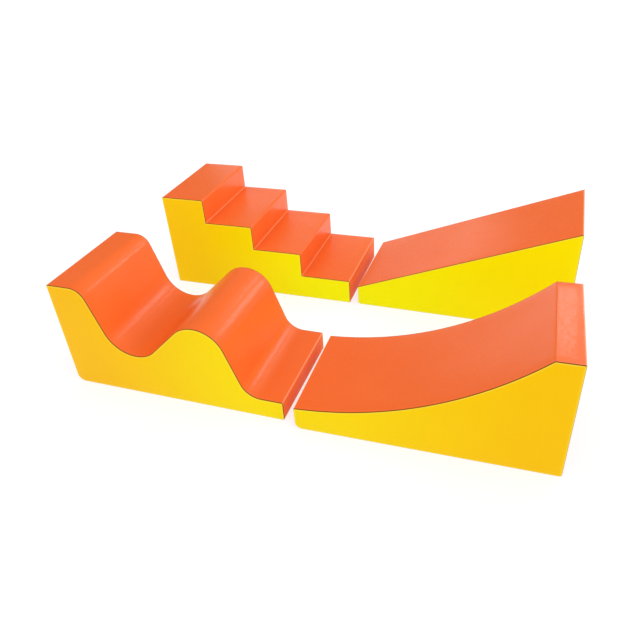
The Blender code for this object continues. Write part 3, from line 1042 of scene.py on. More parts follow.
class Nodes:
    """Places and links the nodes of one tree."""

    def __init__(self, tree: Tree) -> None:
        """Starts on a tree."""
        self.tree = tree

    def add(self, kind: str, inputs: dict | None = None, **settings: object) -> Node:
        """Adds a node.

        Args:
            kind: The node's type, without its common prefix.
            inputs: Values, or sockets to link, by the name or number of the input.
            settings: The node's own settings.

        Returns:
            The node.
        """
        node = self.tree.nodes.new(f"ShaderNode{kind}")
        for name, value in settings.items():
            setattr(node, name, value)
        for name, value in (inputs or {}).items():
            if isinstance(value, Socket):
                self.tree.links.new(value, node.inputs[name])
            else:
                node.inputs[name].default_value = value
        return node

    def feed(self, target: Node, sources: dict[str, Socket]) -> None:
        """Links sockets, by the names of the inputs, to a node that is already there."""
        for name, source in sources.items():
            self.tree.links.new(source, target.inputs[name])

    def where(self) -> Socket:
        """The place on the object, in metres."""
        return self.add("TexCoord").outputs["Object"]

    def maths(self, operation: str, first: Amount, second: Amount = 0.0, third: Amount = 0.0) -> Socket:
        """The result of one sum."""
        return self.add("Math", {0: first, 1: second, 2: third}, operation=operation).outputs[0]

    def blend(self, share: Amount, first: object, second: object) -> Socket:
        """A colour between two others."""
        return self.add("Mix", {0: share, 6: first, 7: second}, data_type="RGBA").outputs[2]

    def shaded(self, share: Amount, colour: Colour, shade: float) -> Socket:
        """A screen colour, or a darker shade of it where the share is low."""
        return self.blend(share, linear(darkened(colour, shade)), linear(colour))

    def spread(
        self, value: Amount, low: float, high: float, to_low: float = 0.0, to_high: float = 1.0
    ) -> Socket:
        """A value moved smoothly from one range to another, and kept inside it."""
        inputs = {0: value, 1: low, 2: high, 3: to_low, 4: to_high}
        return self.add("MapRange", inputs, interpolation_type="SMOOTHSTEP").outputs[0]

    def bump(self, strength: float, distance: float, height: Socket, under: Socket | None = None) -> Socket:
        """The normals of a raised surface.

        Args:
            strength: How much of the relief counts.
            distance: How high it rises.
            height: The relief, from 0 to 1.
            under: The normals of a broader relief that carries this one.

        Returns:
            The normals.
        """
        inputs = {"Strength": strength, "Distance": distance, "Height": height}
        if under is not None:
            inputs["Normal"] = under
        return self.add("Bump", inputs).outputs[0]


@dataclass(frozen=True)
class Noise:
    """A cloudy texture: how many clouds in a metre, how many finer layers, and how strong these are."""

    scale: float
    detail: float = 2.0
    roughness: float = 0.5

    def at(self, nodes: Nodes, place: Socket) -> Socket:
        """Its value at a place."""
        inputs = {"Vector": place, "Scale": self.scale, "Detail": self.detail, "Roughness": self.roughness}
        return nodes.add("TexNoise", inputs).outputs["Fac"]


def new_group(name: str, inputs: list[str], outputs: list[str]) -> tuple[Nodes, Node, Node]:
    """Starts a shader node group. Its input called Place is a vector, and the rest are numbers.

    Args:
        name: The group's name.
        inputs: The names of its inputs.
        outputs: The names of its outputs.

    Returns:
        The group's nodes, its input node and its output node.
    """
    tree = bpy.data.node_groups.new(name, "ShaderNodeTree")
    for direction, sockets in (("INPUT", inputs), ("OUTPUT", outputs)):
        for socket in sockets:
            kind = "Vector" if socket == "Place" else "Float"
            tree.interface.new_socket(socket, in_out=direction, socket_type=f"NodeSocket{kind}")
    return Nodes(tree), tree.nodes.new("NodeGroupInput"), tree.nodes.new("NodeGroupOutput")


@dataclass
class Effects:
    """The shader node groups that several finishes share, each built once.

    A span is the stretch of a texture's values that is drawn out to the whole range.
    """

    broad_lumps: Noise = Noise(17.0, 1.0, 0.4)
    small_lumps: Noise = Noise(75.0)
    small_lump_share: float = 0.34
    patch_span: Span = (0.36, 0.60)
    cell_bend: float = 0.0009  # how far the cells of the grain are pushed out of shape
    bend_scale_share: float = 0.6  # of the number of cells in a metre
    bend_detail: float = 1.0
    valley_span: Span = (0.02, 0.20)
    fine_grain_scale_share: float = 3.1
    fine_grain_share: float = 0.25
    line_span: Span = (0.45, 1.0)
    broad_drift: Noise = Noise(2.3, 2.0, 0.45)
    broad_span: Span = (0.3, 0.7)
    fine_drift: Noise = Noise(38.0, 4.0, 0.6)
    fine_span: Span = (0.25, 0.75)
    rubbed_patches: Noise = Noise(5.5, 3.0, 0.55)
    rubbed_span: Span = (0.52, 0.70)
    rub_scales: Triple = (22.0, 260.0, 60.0)
    rub_turn: Triple = (0.0, 0.0, 0.5)
    rubs: Noise = Noise(1.0)
    rub_span: Span = (0.54, 0.66)

    def __post_init__(self) -> None:
        """Builds the groups."""
        self.grain = self._grain()
        self.seam_line = self._seam_line()
        self.drift = self._drift()
        self.scuffs = self._scuffs()
        self.lumps = self._lumps()

    def _lumps(self) -> Tree:
        """The unevenness of the foam as it shows through the vinyl: soft lumps a few centimetres wide, and
        smaller ones on them, which also part the vinyl into patches of more and less polish."""
        nodes, start, end = new_group("foam_lumps", ["Place"], ["Height", "Patch"])
        broad = self.broad_lumps.at(nodes, start.outputs["Place"])
        small = self.small_lumps.at(nodes, start.outputs["Place"])
        height = nodes.maths("MULTIPLY_ADD", small, self.small_lump_share, broad)
        nodes.feed(end, {"Height": height, "Patch": nodes.spread(small, *self.patch_span)})
        return nodes.tree

    def _grain(self) -> Tree:
        """The pressed grain of coated cloth: rounded cells with narrow valleys, and a finer grain on them."""
        nodes, start, end = new_group("pressed_grain", ["Place", "Cells per metre"], ["Height", "Valley"])
        place, cells = start.outputs["Place"], start.outputs["Cells per metre"]
        bend_scale = nodes.maths("MULTIPLY", cells, self.bend_scale_share)
        bend = nodes.add("TexNoise", {"Vector": place, "Scale": bend_scale, "Detail": self.bend_detail})
        shift = nodes.add("VectorMath", {0: bend.outputs["Color"], 3: self.cell_bend}, operation="SCALE")
        moved = nodes.add("VectorMath", {0: place, 1: shift.outputs[0]}, operation="ADD").outputs[0]
        cell = nodes.add("TexVoronoi", {"Vector": moved, "Scale": cells}, feature="DISTANCE_TO_EDGE")
        hill = nodes.spread(cell.outputs["Distance"], *self.valley_span)
        fine_scale = nodes.maths("MULTIPLY", cells, self.fine_grain_scale_share)
        fine = nodes.add("TexNoise", {"Vector": place, "Scale": fine_scale}).outputs["Fac"]
        coarse = nodes.maths("MULTIPLY", hill, 1.0 - self.fine_grain_share)
        height = nodes.maths("MULTIPLY_ADD", fine, self.fine_grain_share, coarse)
        nodes.feed(end, {"Height": height, "Valley": nodes.maths("SUBTRACT", 1.0, hill)})
        return nodes.tree

    def _seam_line(self) -> Tree:
        """Where a seam is: a narrow line in it, which carries the painted shade of a seam and the painted
        line of a fold, and a soft band beside it, which carries a painted highlight.
        """
        inputs = ["Distance", "Line width", "Band width"]
        nodes, start, end = new_group("seam_line", inputs, ["Line", "Band"])
        away = start.outputs["Distance"]
        line = nodes.maths("DIVIDE", away, start.outputs["Line width"])
        band = nodes.maths("DIVIDE", away, start.outputs["Band width"])
        in_line = nodes.spread(line, *self.line_span, 1.0, 0.0)
        nodes.feed(end, {"Line": in_line, "Band": nodes.spread(band, 0.0, 1.0, 1.0, 0.0)})
        return nodes.tree

    def _drift(self) -> Tree:
        """A slow change of tone over the cloth, as its dye and its gloss vary along the roll."""
        nodes, start, end = new_group("tone_drift", ["Place"], ["Broad", "Fine"])
        broad = nodes.spread(self.broad_drift.at(nodes, start.outputs["Place"]), *self.broad_span)
        fine = nodes.spread(self.fine_drift.at(nodes, start.outputs["Place"]), *self.fine_span)
        nodes.feed(end, {"Broad": broad, "Fine": fine})
        return nodes.tree

    def _scuffs(self) -> Tree:
        """Short faint rubs in patches, where shoes and knees have polished the surface."""
        nodes, start, end = new_group("scuffs", ["Place"], ["Rubbed"])
        place = start.outputs["Place"]
        stretch = {"Vector": place, "Scale": self.rub_scales, "Rotation": self.rub_turn}
        stretched = nodes.add("Mapping", stretch).outputs[0]
        patch = nodes.spread(self.rubbed_patches.at(nodes, place), *self.rubbed_span)
        streak = nodes.spread(self.rubs.at(nodes, stretched), *self.rub_span)
        nodes.feed(end, {"Rubbed": nodes.maths("MULTIPLY", patch, streak)})
        return nodes.tree


def new_material(name: str) -> tuple[Material, Nodes, Node]:
    """A material with a Principled shader, its nodes and the shader."""
    material = bpy.data.materials.new(name)
    material.use_nodes = True
    return material, Nodes(material.node_tree), material.node_tree.nodes["Principled BSDF"]


@dataclass(frozen=True)
class VinylFinish:
    """Coated cloth: its colour at one end of a block and at the other, with painted light in the change
    between them, its seams with their painted shade and highlights, and its gloss.

    Attributes:
        name: The material's name.
        near: The colour where it starts.
        far: The colour at the other end.
        seam: The colour of the painted shade in the seams and in the valleys of the grain.
        rim: The colour of the painted highlight in a band beside the seams, along the rounded edges.
        fold: The colour of the thin line where two panels of one colour meet: a painted highlight along the
            fold on the orange, and painted shade in the fold on the yellow.
        gloss_tint: The tint of the reflections.
        start: Where along the set the first colour lies.
        span: How far from there the second colour lies.
        deep: The hue, saturation and value of the deeper tone that the colour drifts to.
        roughening: What is added to the roughness by the fine and the broad drift, the valleys of the grain,
            the scuffs and the seams.
        unevenness: How far the foam's lumps lift the vinyl.
    """

    name: str
    near: Colour
    far: Colour
    seam: Colour
    rim: Colour
    fold: Colour
    gloss_tint: Triple
    start: float = 0.0
    span: float = 1.0
    deep: Triple = (0.4985, 1.02, 0.955)
    deep_share: float = 0.4
    painted_valley_shade_share: float = 0.10
    roughness: float = 0.26
    roughening: tuple[float, ...] = (0.08, 0.10, 0.10, -0.06, 0.5)
    specular: float = 0.24
    grain_height: float = 0.00009
    grain_strength: float = 0.5
    cells: float = 850.0  # of the grain, in a metre
    seam_width: float = 0.0040
    band_width: float = 0.013
    painted_rim_highlight_strength: float = 0.5
    painted_fold_line_strength: float = 0.8
    painted_seam_shade_strength: float = 0.95
    coat: float = 0.36
    dull_coat_share: float = 0.3  # of the coat, where the vinyl is least polished
    coat_roughness: float = 0.20
    unevenness: float = 0.00030

    def material(self, effects: Effects) -> Material:
        """Builds the material.

        Args:
            effects: The shared node groups.

        Returns:
            The material.
        """
        material, nodes, shader = new_material(self.name)
        where = nodes.where()
        drift = nodes.add("Group", {"Place": where}, node_tree=effects.drift)
        grain = nodes.add("Group", {"Place": where, "Cells per metre": self.cells}, node_tree=effects.grain)
        scuffs = nodes.add("Group", {"Place": where}, node_tree=effects.scuffs)
        lumps = nodes.add("Group", {"Place": where}, node_tree=effects.lumps)
        seam = self._line(nodes, effects, SEAM_ATTRIBUTE)
        fold = self._line(nodes, effects, FOLD_ATTRIBUTE)
        colour = self._cloth_colour(nodes, where, drift, grain)
        # Painted light and shade: a highlight in the band beside the seams, a line along the folds, and shade
        # in the seams
        for share, strength, tone in (
            (seam.outputs["Band"], self.painted_rim_highlight_strength, self.rim),
            (fold.outputs["Line"], self.painted_fold_line_strength, self.fold),
            (seam.outputs["Line"], self.painted_seam_shade_strength, self.seam),
        ):
            colour = nodes.blend(nodes.maths("MULTIPLY", share, strength), colour, linear(tone))
        drifts = (drift.outputs["Fine"], drift.outputs["Broad"])
        marks = (grain.outputs["Valley"], scuffs.outputs["Rubbed"], seam.outputs["Line"])
        rough = self.roughness
        for source, more in zip((*drifts, *marks), self.roughening, strict=True):
            rough = nodes.maths("MULTIPLY_ADD", source, more, rough)
        uneven = nodes.bump(1.0, self.unevenness, lumps.outputs["Height"])
        raised = nodes.bump(self.grain_strength, self.grain_height, grain.outputs["Height"], uneven)
        nodes.feed(shader, {"Base Color": colour, "Roughness": rough, "Normal": raised})
        shader.inputs["Specular Tint"].default_value = (*self.gloss_tint, 1.0)
        shader.inputs["Specular IOR Level"].default_value = self.specular
        shader.inputs["Coat Roughness"].default_value = self.coat_roughness
        if self.coat > 0.0:
            least = self.dull_coat_share * self.coat
            polished = nodes.maths("MULTIPLY_ADD", lumps.outputs["Patch"], self.coat - least, least)
            plain = nodes.maths("SUBTRACT", 1.0, seam.outputs["Line"])
            nodes.feed(shader, {"Coat Weight": nodes.maths("MULTIPLY", polished, plain)})
        return material

    def _cloth_colour(self, nodes: Nodes, where: Socket, drift: Node, grain: Node) -> Socket:
        """The cloth's colour: it shifts along the set as painted light, drifts in tone, and is a little
        darker in the valleys of the grain as painted shade.

        Args:
            nodes: The material's nodes.
            where: The place on the object.
            drift: The placed tone drift.
            grain: The placed grain.

        Returns:
            The colour.
        """
        along = nodes.add("SeparateXYZ", {0: where}).outputs[0]
        # Painted light: the colour changes from one end of the block to the other
        share = nodes.spread(along, self.start, self.start + self.span)
        colour = nodes.blend(share, linear(self.near), linear(self.far))
        hue, saturation, value = self.deep
        change = {"Color": colour, "Hue": hue, "Saturation": saturation, "Value": value}
        deeper = nodes.add("HueSaturation", change).outputs[0]
        colour = nodes.blend(nodes.maths("MULTIPLY", drift.outputs["Broad"], self.deep_share), colour, deeper)
        # Painted shade: the valleys of the grain are a little darker
        painted_shade_in_valleys = nodes.maths("MULTIPLY", grain.outputs["Valley"], self.painted_valley_shade_share)
        return nodes.blend(painted_shade_in_valleys, colour, linear(self.seam))

    def _line(self, nodes: Nodes, effects: Effects, attribute: str) -> Node:
        """Places the seam line group on one of the two distances."""
        away = nodes.add("Attribute", attribute_name=attribute).outputs["Fac"]
        inputs = {"Distance": away, "Line width": self.seam_width, "Band width": self.band_width}
        return nodes.add("Group", inputs, node_tree=effects.seam_line)


@dataclass(frozen=True)
class FoamFinish:
    """Open foam: pale, dull and full of small pores, which are darker as painted shade, with yellower
    patches.
    """

    colour: Colour = (222, 214, 190)
    painted_pore_shade: float = 0.72
    pore_strength: float = 0.8
    pores: float = 900.0  # in a metre
    pore_span: Span = (0.15, 0.45)
    pore_depth: float = 0.0004
    patches: Noise = Noise(14.0, 3.0)
    patch_colour: Colour = (204, 186, 140)
    patch_share: float = 0.25
    roughness: float = 0.95

    def material(self) -> Material:
        """Builds the material."""
        material, nodes, shader = new_material("foam_finish")
        where = nodes.where()
        cell = nodes.add("TexVoronoi", {"Vector": where, "Scale": self.pores})
        pore = nodes.spread(cell.outputs["Distance"], *self.pore_span)
        lighter = nodes.maths("MULTIPLY", pore, self.pore_strength)
        # Painted shade: the colour is darker in the pores
        colour = nodes.shaded(lighter, self.colour, self.painted_pore_shade)
        patch = nodes.maths("MULTIPLY", self.patches.at(nodes, where), self.patch_share)
        tinted = nodes.blend(patch, colour, linear(self.patch_colour))
        raised = nodes.bump(self.pore_strength, self.pore_depth, pore)
        nodes.feed(shader, {"Base Color": tinted, "Normal": raised})
        shader.inputs["Roughness"].default_value = self.roughness
        return material


@dataclass(frozen=True)
class ClothFinish:
    """Woven polyester, as in a zip's tape or a thread."""

    name: str
    colour: Colour
    shade: float = 0.6
    threads: float = 2600.0  # in a metre
    thread_height: float = 0.0001
    relief: float = 0.7
    fuzz: Noise = Noise(900.0, 3.0)
    fuzz_share: float = 0.4
    roughness: float = 0.8

    def material(self) -> Material:
        """Builds the material: two crossed waves, one for each set of threads, which darken the colour in a
        checker as painted shade of the weave, with the fuzz as a random change of tone.
        """
        material, nodes, shader = new_material(self.name)
        place = nodes.add("UVMap", uv_map=LAYOUT_MAP).outputs[0]
        parts = nodes.add("SeparateXYZ", {0: place})
        warp, weft = (
            nodes.maths("SINE", nodes.maths("MULTIPLY", parts.outputs[axis], self.threads * math.pi))
            for axis in (0, 1)
        )
        crossed = nodes.spread(nodes.maths("MULTIPLY", warp, weft), -1.0, 1.0)
        woven = nodes.maths("MULTIPLY", crossed, 1.0 - self.fuzz_share)
        light = nodes.maths("MULTIPLY_ADD", self.fuzz.at(nodes, place), self.fuzz_share, woven)
        # Painted shade in the weave, and a random tone from the fuzz
        colour = nodes.shaded(light, self.colour, self.shade)
        raised = nodes.bump(self.relief, self.thread_height, crossed)
        nodes.feed(shader, {"Base Color": colour, "Normal": raised})
        shader.inputs["Roughness"].default_value = self.roughness
        return material


@dataclass(frozen=True)
class ResinFinish:
    """The moulded teeth of the zip."""

    colour: Colour
    shade: float = 0.8
    speckle: Noise = Noise(420.0, 3.0)
    roughness: float = 0.28
    roughening: float = 0.2

    def material(self) -> Material:
        """Builds the material."""
        material, nodes, shader = new_material("resin_teeth_finish")
        speckle = self.speckle.at(nodes, nodes.where())
        colour = nodes.shaded(speckle, self.colour, self.shade)
        rough = nodes.maths("MULTIPLY_ADD", speckle, self.roughening, self.roughness)
        nodes.feed(shader, {"Base Color": colour, "Roughness": rough})
        return material


@dataclass(frozen=True)
class MetalFinish:
    """Nickel-plated zinc with fine rubs."""

    colour: Colour = (196, 194, 188)
    shade: float = 0.82
    tarnish: Noise = Noise(160.0, 3.0)
    tarnish_span: Span = (0.35, 0.7)
    rubs: Noise = Noise(1.0)
    rub_scales: Triple = (300.0, 2500.0, 2500.0)
    rub_depth: float = 0.00005
    relief: float = 0.15
    roughness: float = 0.16
    roughening: float = 0.22

    def material(self) -> Material:
        """Builds the material."""
        material, nodes, shader = new_material("plated_metal_finish")
        where = nodes.where()
        stretched = nodes.add("Mapping", {"Vector": where, "Scale": self.rub_scales}).outputs[0]
        rubs = self.rubs.at(nodes, stretched)
        tarnish = nodes.spread(self.tarnish.at(nodes, where), *self.tarnish_span)
        colour = nodes.blend(tarnish, linear(self.colour), linear(darkened(self.colour, self.shade)))
        rough = nodes.maths("MULTIPLY_ADD", rubs, self.roughening, self.roughness)
        raised = nodes.bump(self.relief, self.rub_depth, rubs)
        nodes.feed(shader, {"Base Color": colour, "Roughness": rough, "Normal": raised})
        shader.inputs["Metallic"].default_value = 1.0
        return material


# The brown of the painted shade in the seams
SEAM_PAINTED_SHADE = (104, 44, 8)
# The orange; its rim colour is a painted highlight beside the seams, and its fold colour a painted highlight
# along the folds
ORANGE = VinylFinish(
    "orange_vinyl_finish",
    near=(251, 110, 42),
    far=(251, 110, 42),
    seam=SEAM_PAINTED_SHADE,
    rim=(250, 118, 56),
    fold=(255, 168, 120),
    gloss_tint=(1.0, 0.80, 0.62),
    painted_rim_highlight_strength=0.25,
)
# The low ends' orange: lighter than the plain orange, as painted light that makes up for the shade in the
# narrow gaps between the blocks, and with little gloss
DULL_PAINTED_LIGHT_ORANGE = replace(
    ORANGE, name="dull_orange_vinyl_finish", near=(255, 122, 40), far=(255, 122, 40), specular=0.06, coat=0.0
)
BASE_ORANGE = replace(ORANGE, name="base_vinyl_finish", near=(214, 70, 30), far=(214, 70, 30))
# A block's yellow at its left end and at its right end, and where these lie: the start and the span. The
# change from one end to the other is painted light: lighter where more light falls, and lifted where the
# neighbouring blocks shade the side.
YELLOWS_WITH_PAINTED_LIGHT = {
    "wave": ((255, 194, 0), (255, 226, 0), -1.2, 1.1),
    "slide": ((255, 223, 0), (255, 200, 0), 0.0, 1.2),
    "steps": ((255, 208, 0), (255, 255, 0), -1.25, 1.1),
    "ramp": ((255, 255, 0), (255, 238, 0), 0.0, 1.2),
}
# Each block's yellow; its rim colour is a painted highlight beside the seams, and its fold colour painted
# shade along the folds
YELLOWS = {
    name: VinylFinish(
        f"{name}_yellow_finish",
        near=near,
        far=far,
        seam=SEAM_PAINTED_SHADE,
        rim=(255, 240, 96),
        fold=(190, 130, 10),
        gloss_tint=(1.0, 0.90, 0.10),
        start=start,
        span=span,
        specular=0.20,
        coat=0.05,
    )
    for name, (near, far, start, span) in YELLOWS_WITH_PAINTED_LIGHT.items()
}
TAPE = ClothFinish("tape_finish", colour=(232, 170, 14))
THREAD = ClothFinish("thread_finish", colour=(244, 206, 40))
TEETH = ResinFinish(colour=(222, 156, 16))


@dataclass(frozen=True)
class Materials:
    """The materials of the whole set, and each block's own yellow by the block's name."""

    orange: Material
    dull_orange: Material
    base: Material
    yellows: dict[str, Material]
    foam: Material
    tape: Material
    thread: Material
    teeth: Material
    metal: Material

    @classmethod
    def built(cls) -> "Materials":
        """Builds them all."""
        effects = Effects()
        return cls(
            orange=ORANGE.material(effects),
            dull_orange=DULL_PAINTED_LIGHT_ORANGE.material(effects),
            base=BASE_ORANGE.material(effects),
            yellows={name: finish.material(effects) for name, finish in YELLOWS.items()},
            foam=FoamFinish().material(),
            tape=TAPE.material(),
            thread=THREAD.material(),
            teeth=TEETH.material(),
            metal=MetalFinish().material(),
        )


@dataclass
class Cover:
    """The vinyl cover of one block."""

    name: str
    profile: Profile
    place: BlockPlace
    materials: Materials
    zip_place: ZipPlace
    thickness: float = 0.0005
    side_share: float = 0.74  # of the edge's turn, taken by the yellow side panels
    hem_crown: float = 0.0005
    least_edge_turn: float = math.radians(30.0)  # a seam that turns less lies flat
    ease_points: int = 9
    front_seed: int = 11
    back_seed: int = 12
    hem_seed: int = 13

    def build(self) -> list[Object]:
        """Makes every panel of the cover."""
        return [*self._wraps(), self._front(), *self._backs()]

    def _wraps(self) -> list[Object]:
        """The panels that wrap the foam between the two sides: the top or the treads, the ends, the base."""
        runs, vinyl, top = self.profile.runs(), self.materials, self.profile.top()
        ends = ("low", "high") if top[0, 1] < top[-1, 1] else ("high", "low")
        plan = []
        for number, run in enumerate(runs["top"], 1):
            whole = len(runs["top"]) == 1
            name, node = ("top", "top_panel") if whole else (f"tread_{number}", f"tread_panel_{number}")
            plan.append((name, node, run, vinyl.orange, SLOTS.orange))
        for end, line in zip(ends, ("left_end", "right_end"), strict=True):
            # A low end faces a narrow gap and takes the lighter orange of painted light
            material = vinyl.orange if end == "high" else vinyl.dull_orange
            plan.append((f"{end}_end", f"{end}_end_panel", runs[line][0], material, SLOTS.orange))
        plan.append(("base", "base_panel", runs["base"][0], vinyl.base, SLOTS.base))
        made = []
        for seed, (name, node, run, material, slot) in enumerate(plan):
            fullness, spacing = (FLAT, STEP.wide) if name == "base" else (Fullness(), STEP.spacing)
            surface = self._wrap_panel(run, seed, fullness, spacing)
            made.append(self._dress(f"{self.name}_{name}_vinyl", surface, material, node))
        return made

    def _wrap_panel(self, run: Run, seed: int, fullness: Fullness, spacing: float) -> Surface:
        """A panel along a run, from the front seam to the back one.

        Args:
            run: The line that it follows.
            seed: Makes its puckers its own.
            fullness: How the foam fills it.
            spacing: The most between two of its points.

        Returns:
            The sheet.
        """
        length, width = walked(run.points)[-1], self.profile.size.width
        edge = SEAMS.section(Meeting.EDGE, share=1.0 - self.side_share)
        low = np.stack([walked(run.points), np.zeros(len(run.points))], axis=1)
        high = (low + np.array([0.0, width]))[::-1]
        sides = (
            Side(low, edge),
            Side(straight((length, 0.0), (length, width)), self._end_section(run.trail), pale=True),
            Side(high, edge),
            Side(straight((0.0, width), (0.0, 0.0)), self._end_section(run.lead), pale=True),
        )
        return Panel(sides, seed=seed, fullness=fullness, spacing=spacing).surface(run.lifted)

    def _end_section(self, turn: float) -> Array:
        """The section at an end of a run: over a rounded edge, or against its neighbour."""
        meeting = Meeting.EDGE if turn > self.least_edge_turn else Meeting.BUTT
        return SEAMS.section(meeting, turn=turn)

    def _front(self) -> Object:
        """The front side panel."""
        bottom, right, top, left = self.profile.rims()
        sides = tuple(Side(line, self._edge()) for line in (bottom, right, top, left[::-1]))
        surface = Panel(sides, match=self.profile.match(), seed=self.front_seed).surface(upright)
        return self._dress_side("front_vinyl", surface, "front_panel")

    def _backs(self) -> list[Object]:
        """The back panel above the zip, and the hem below it."""
        bottom, right, top, left = self.profile.rims()
        edge, fold = self._edge(), SEAMS.section(Meeting.MOUTH)
        low_left, high_left = cut_at(left, self.zip_place.height)
        low_right, high_right = cut_at(right, self.zip_place.height)
        upper, lower = (self._mouth(high_left[0, 0], high_right[0, 0], side) for side in (1.0, -1.0))
        above = (Side(upper, fold), Side(high_right, edge), Side(top, edge), Side(high_left[::-1], edge))
        below = (
            Side(bottom, edge),
            Side(low_right, edge),
            Side(lower[::-1], fold),
            Side(low_left[::-1], edge),
        )
        panel = Panel(above, match=self.profile.match(), seed=self.back_seed)
        hem = Panel(below, seed=self.hem_seed, fullness=Fullness(crown=self.hem_crown))
        return [
            self._dress_side("back_vinyl", panel.surface(self._onto_back).flipped(), "back_panel"),
            self._dress_side("hem_vinyl", hem.surface(self._onto_back).flipped(), "back_hem"),
        ]

    def _edge(self) -> Array:
        """The section of a side panel at the rounded edges of the block."""
        return SEAMS.section(Meeting.EDGE, share=self.side_share)

    def _mouth(self, left: float, right: float, side: float) -> Array:
        """The edge of a side panel at the zip: it runs along the seam, eases away from it over the ease
        length by half a cosine, and then keeps half the opening's distance.

        Args:
            left: Where the line starts along the block.
            right: Where it ends.
            side: 1 above the zip, -1 below it.

        Returns:
            The line, from left to right.
        """
        spot, length = self.zip_place, self.profile.size.length
        eased = np.linspace(spot.end_margin - spot.ease, spot.end_margin, self.ease_points)
        along = np.concatenate([[left], eased, length - eased[::-1], [right]])
        inside = np.clip(np.minimum(along, length - along) - spot.end_margin + spot.ease, 0.0, spot.ease)
        open_share = (1.0 - np.cos(math.pi * inside / spot.ease)) / 2
        return np.stack([along, spot.height + side * spot.opening / 2 * open_share], axis=1)

    def _onto_back(self, flat: Array, depth: Array) -> Array:
        """Puts flat points on the back side."""
        return upright(flat, self.profile.size.width - depth)

    def _dress_side(self, name: str, surface: Surface, node: str) -> Object:
        """Makes a panel of the front or the back in the block's own yellow."""
        yellow = self.materials.yellows[self.name]
        return self._dress(f"{self.name}_{name}", surface, yellow, node)

    def _dress(self, name: str, surface: Surface, material: Material, node: str) -> Object:
        """Makes a panel, thickens it, ties it to its block and hides the imported panel that it replaces.

        Args:
            name: The piece's name.
            surface: The sheet.
            material: Its material.
            node: The panel that it replaces, without the block's name.

        Returns:
            The piece.
        """
        piece = make_piece(name, surface, self.place, material)
        thicken(piece, self.thickness)
        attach(piece, f"{self.name}_block")
        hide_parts(f"{self.name}_{node}")
        return piece


@dataclass
class FoamCore:
    """The foam inside a cover: the block's outline drawn in, with a shallow trough for the zip."""

    name: str
    profile: Profile
    place: BlockPlace
    material: Material
    inset: float = 0.0038
    trough_depth: float = 0.0050
    trough_top: float = 0.056
    trough_fade: float = 0.020
    rows_across: int = 31

    def build(self) -> Object:
        """Makes the foam: two side sheets, joined round their rims by rows of points across the block."""
        bottom, right, top, left = self.profile.rims()
        drawn_in = np.stack([np.full(2, self.inset), np.zeros(2)])
        sides = tuple(Side(line, drawn_in) for line in (bottom, right, top, left[::-1]))
        panel = Panel(sides, match=self.profile.match(), spacing=STEP.wide)
        rim, spots, grid = panel.outline_and_spots()
        flat = np.concatenate([rim, spots])
        count, total, width = len(rim), len(flat), self.profile.size.width
        across = np.linspace(self.inset, width - self.inset, self.rows_across)[1:-1]
        front = upright(flat, np.full(total, self.inset))
        back = upright(flat, width - self._back_inset(flat, count))
        around = upright(np.tile(rim, (len(across), 1)), np.repeat(across, count))
        points = np.concatenate([front, back, around])
        row_numbers = 2 * total + np.arange(len(around)).reshape(-1, count)
        shell = np.vstack([np.arange(count), row_numbers, total + np.arange(count)])
        cells, strip = grid_faces(grid), grid_faces(shell, closed=True)
        faces = np.concatenate([cells, cells[:, ::-1] + total, strip[:, ::-1]])
        layout = points[:, [0, 2]] + points[:, [1, 1]]
        piece = make_piece(f"{self.name}_foam", Surface(points, faces, layout), self.place, self.material)
        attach(piece, f"{self.name}_block")
        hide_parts(f"{self.name}_foam_core")
        return piece

    def _back_inset(self, flat: Array, rim_count: int) -> Array:
        """How far the foam's back lies under the back of the block: by the trough's depth low down, and by
        the plain inset above the trough and all round the rim, whose points come first."""
        fade = np.clip((self.trough_top - flat[:, 1]) / self.trough_fade, 0.0, 1.0)
        fade[:rim_count] = 0.0
        return self.inset + (self.trough_depth - self.inset) * fade


def repeated(points: Array, faces: Array, places: Array) -> tuple[Array, Array]:
    """Repeats a small form at many places.

    Args:
        points: Its points.
        faces: Its faces.
        places: What is added to the points each time.

    Returns:
        All the points and all the faces.
    """
    every = (places[:, None, :] + points[None]).reshape(-1, 3)
    shift = np.arange(len(places))[:, None, None] * len(points)
    return every, (faces[None] + shift).reshape(-1, faces.shape[1])


def tube_faces(rings: int, count: int) -> Array:
    """The faces of a closed tube of rings with an even number of points: quads between the rings, and strips
    of quads over its two ends. The rings turn left about the way the tube runs."""
    wall = grid_faces(np.arange(rings * count).reshape(rings, count), closed=True)
    half = np.arange(count // 2 - 1)
    cap = np.stack([half, half + 1, count - 2 - half, count - 1 - half], axis=1)
    return np.concatenate([wall, cap[:, ::-1], cap + (rings - 1) * count])


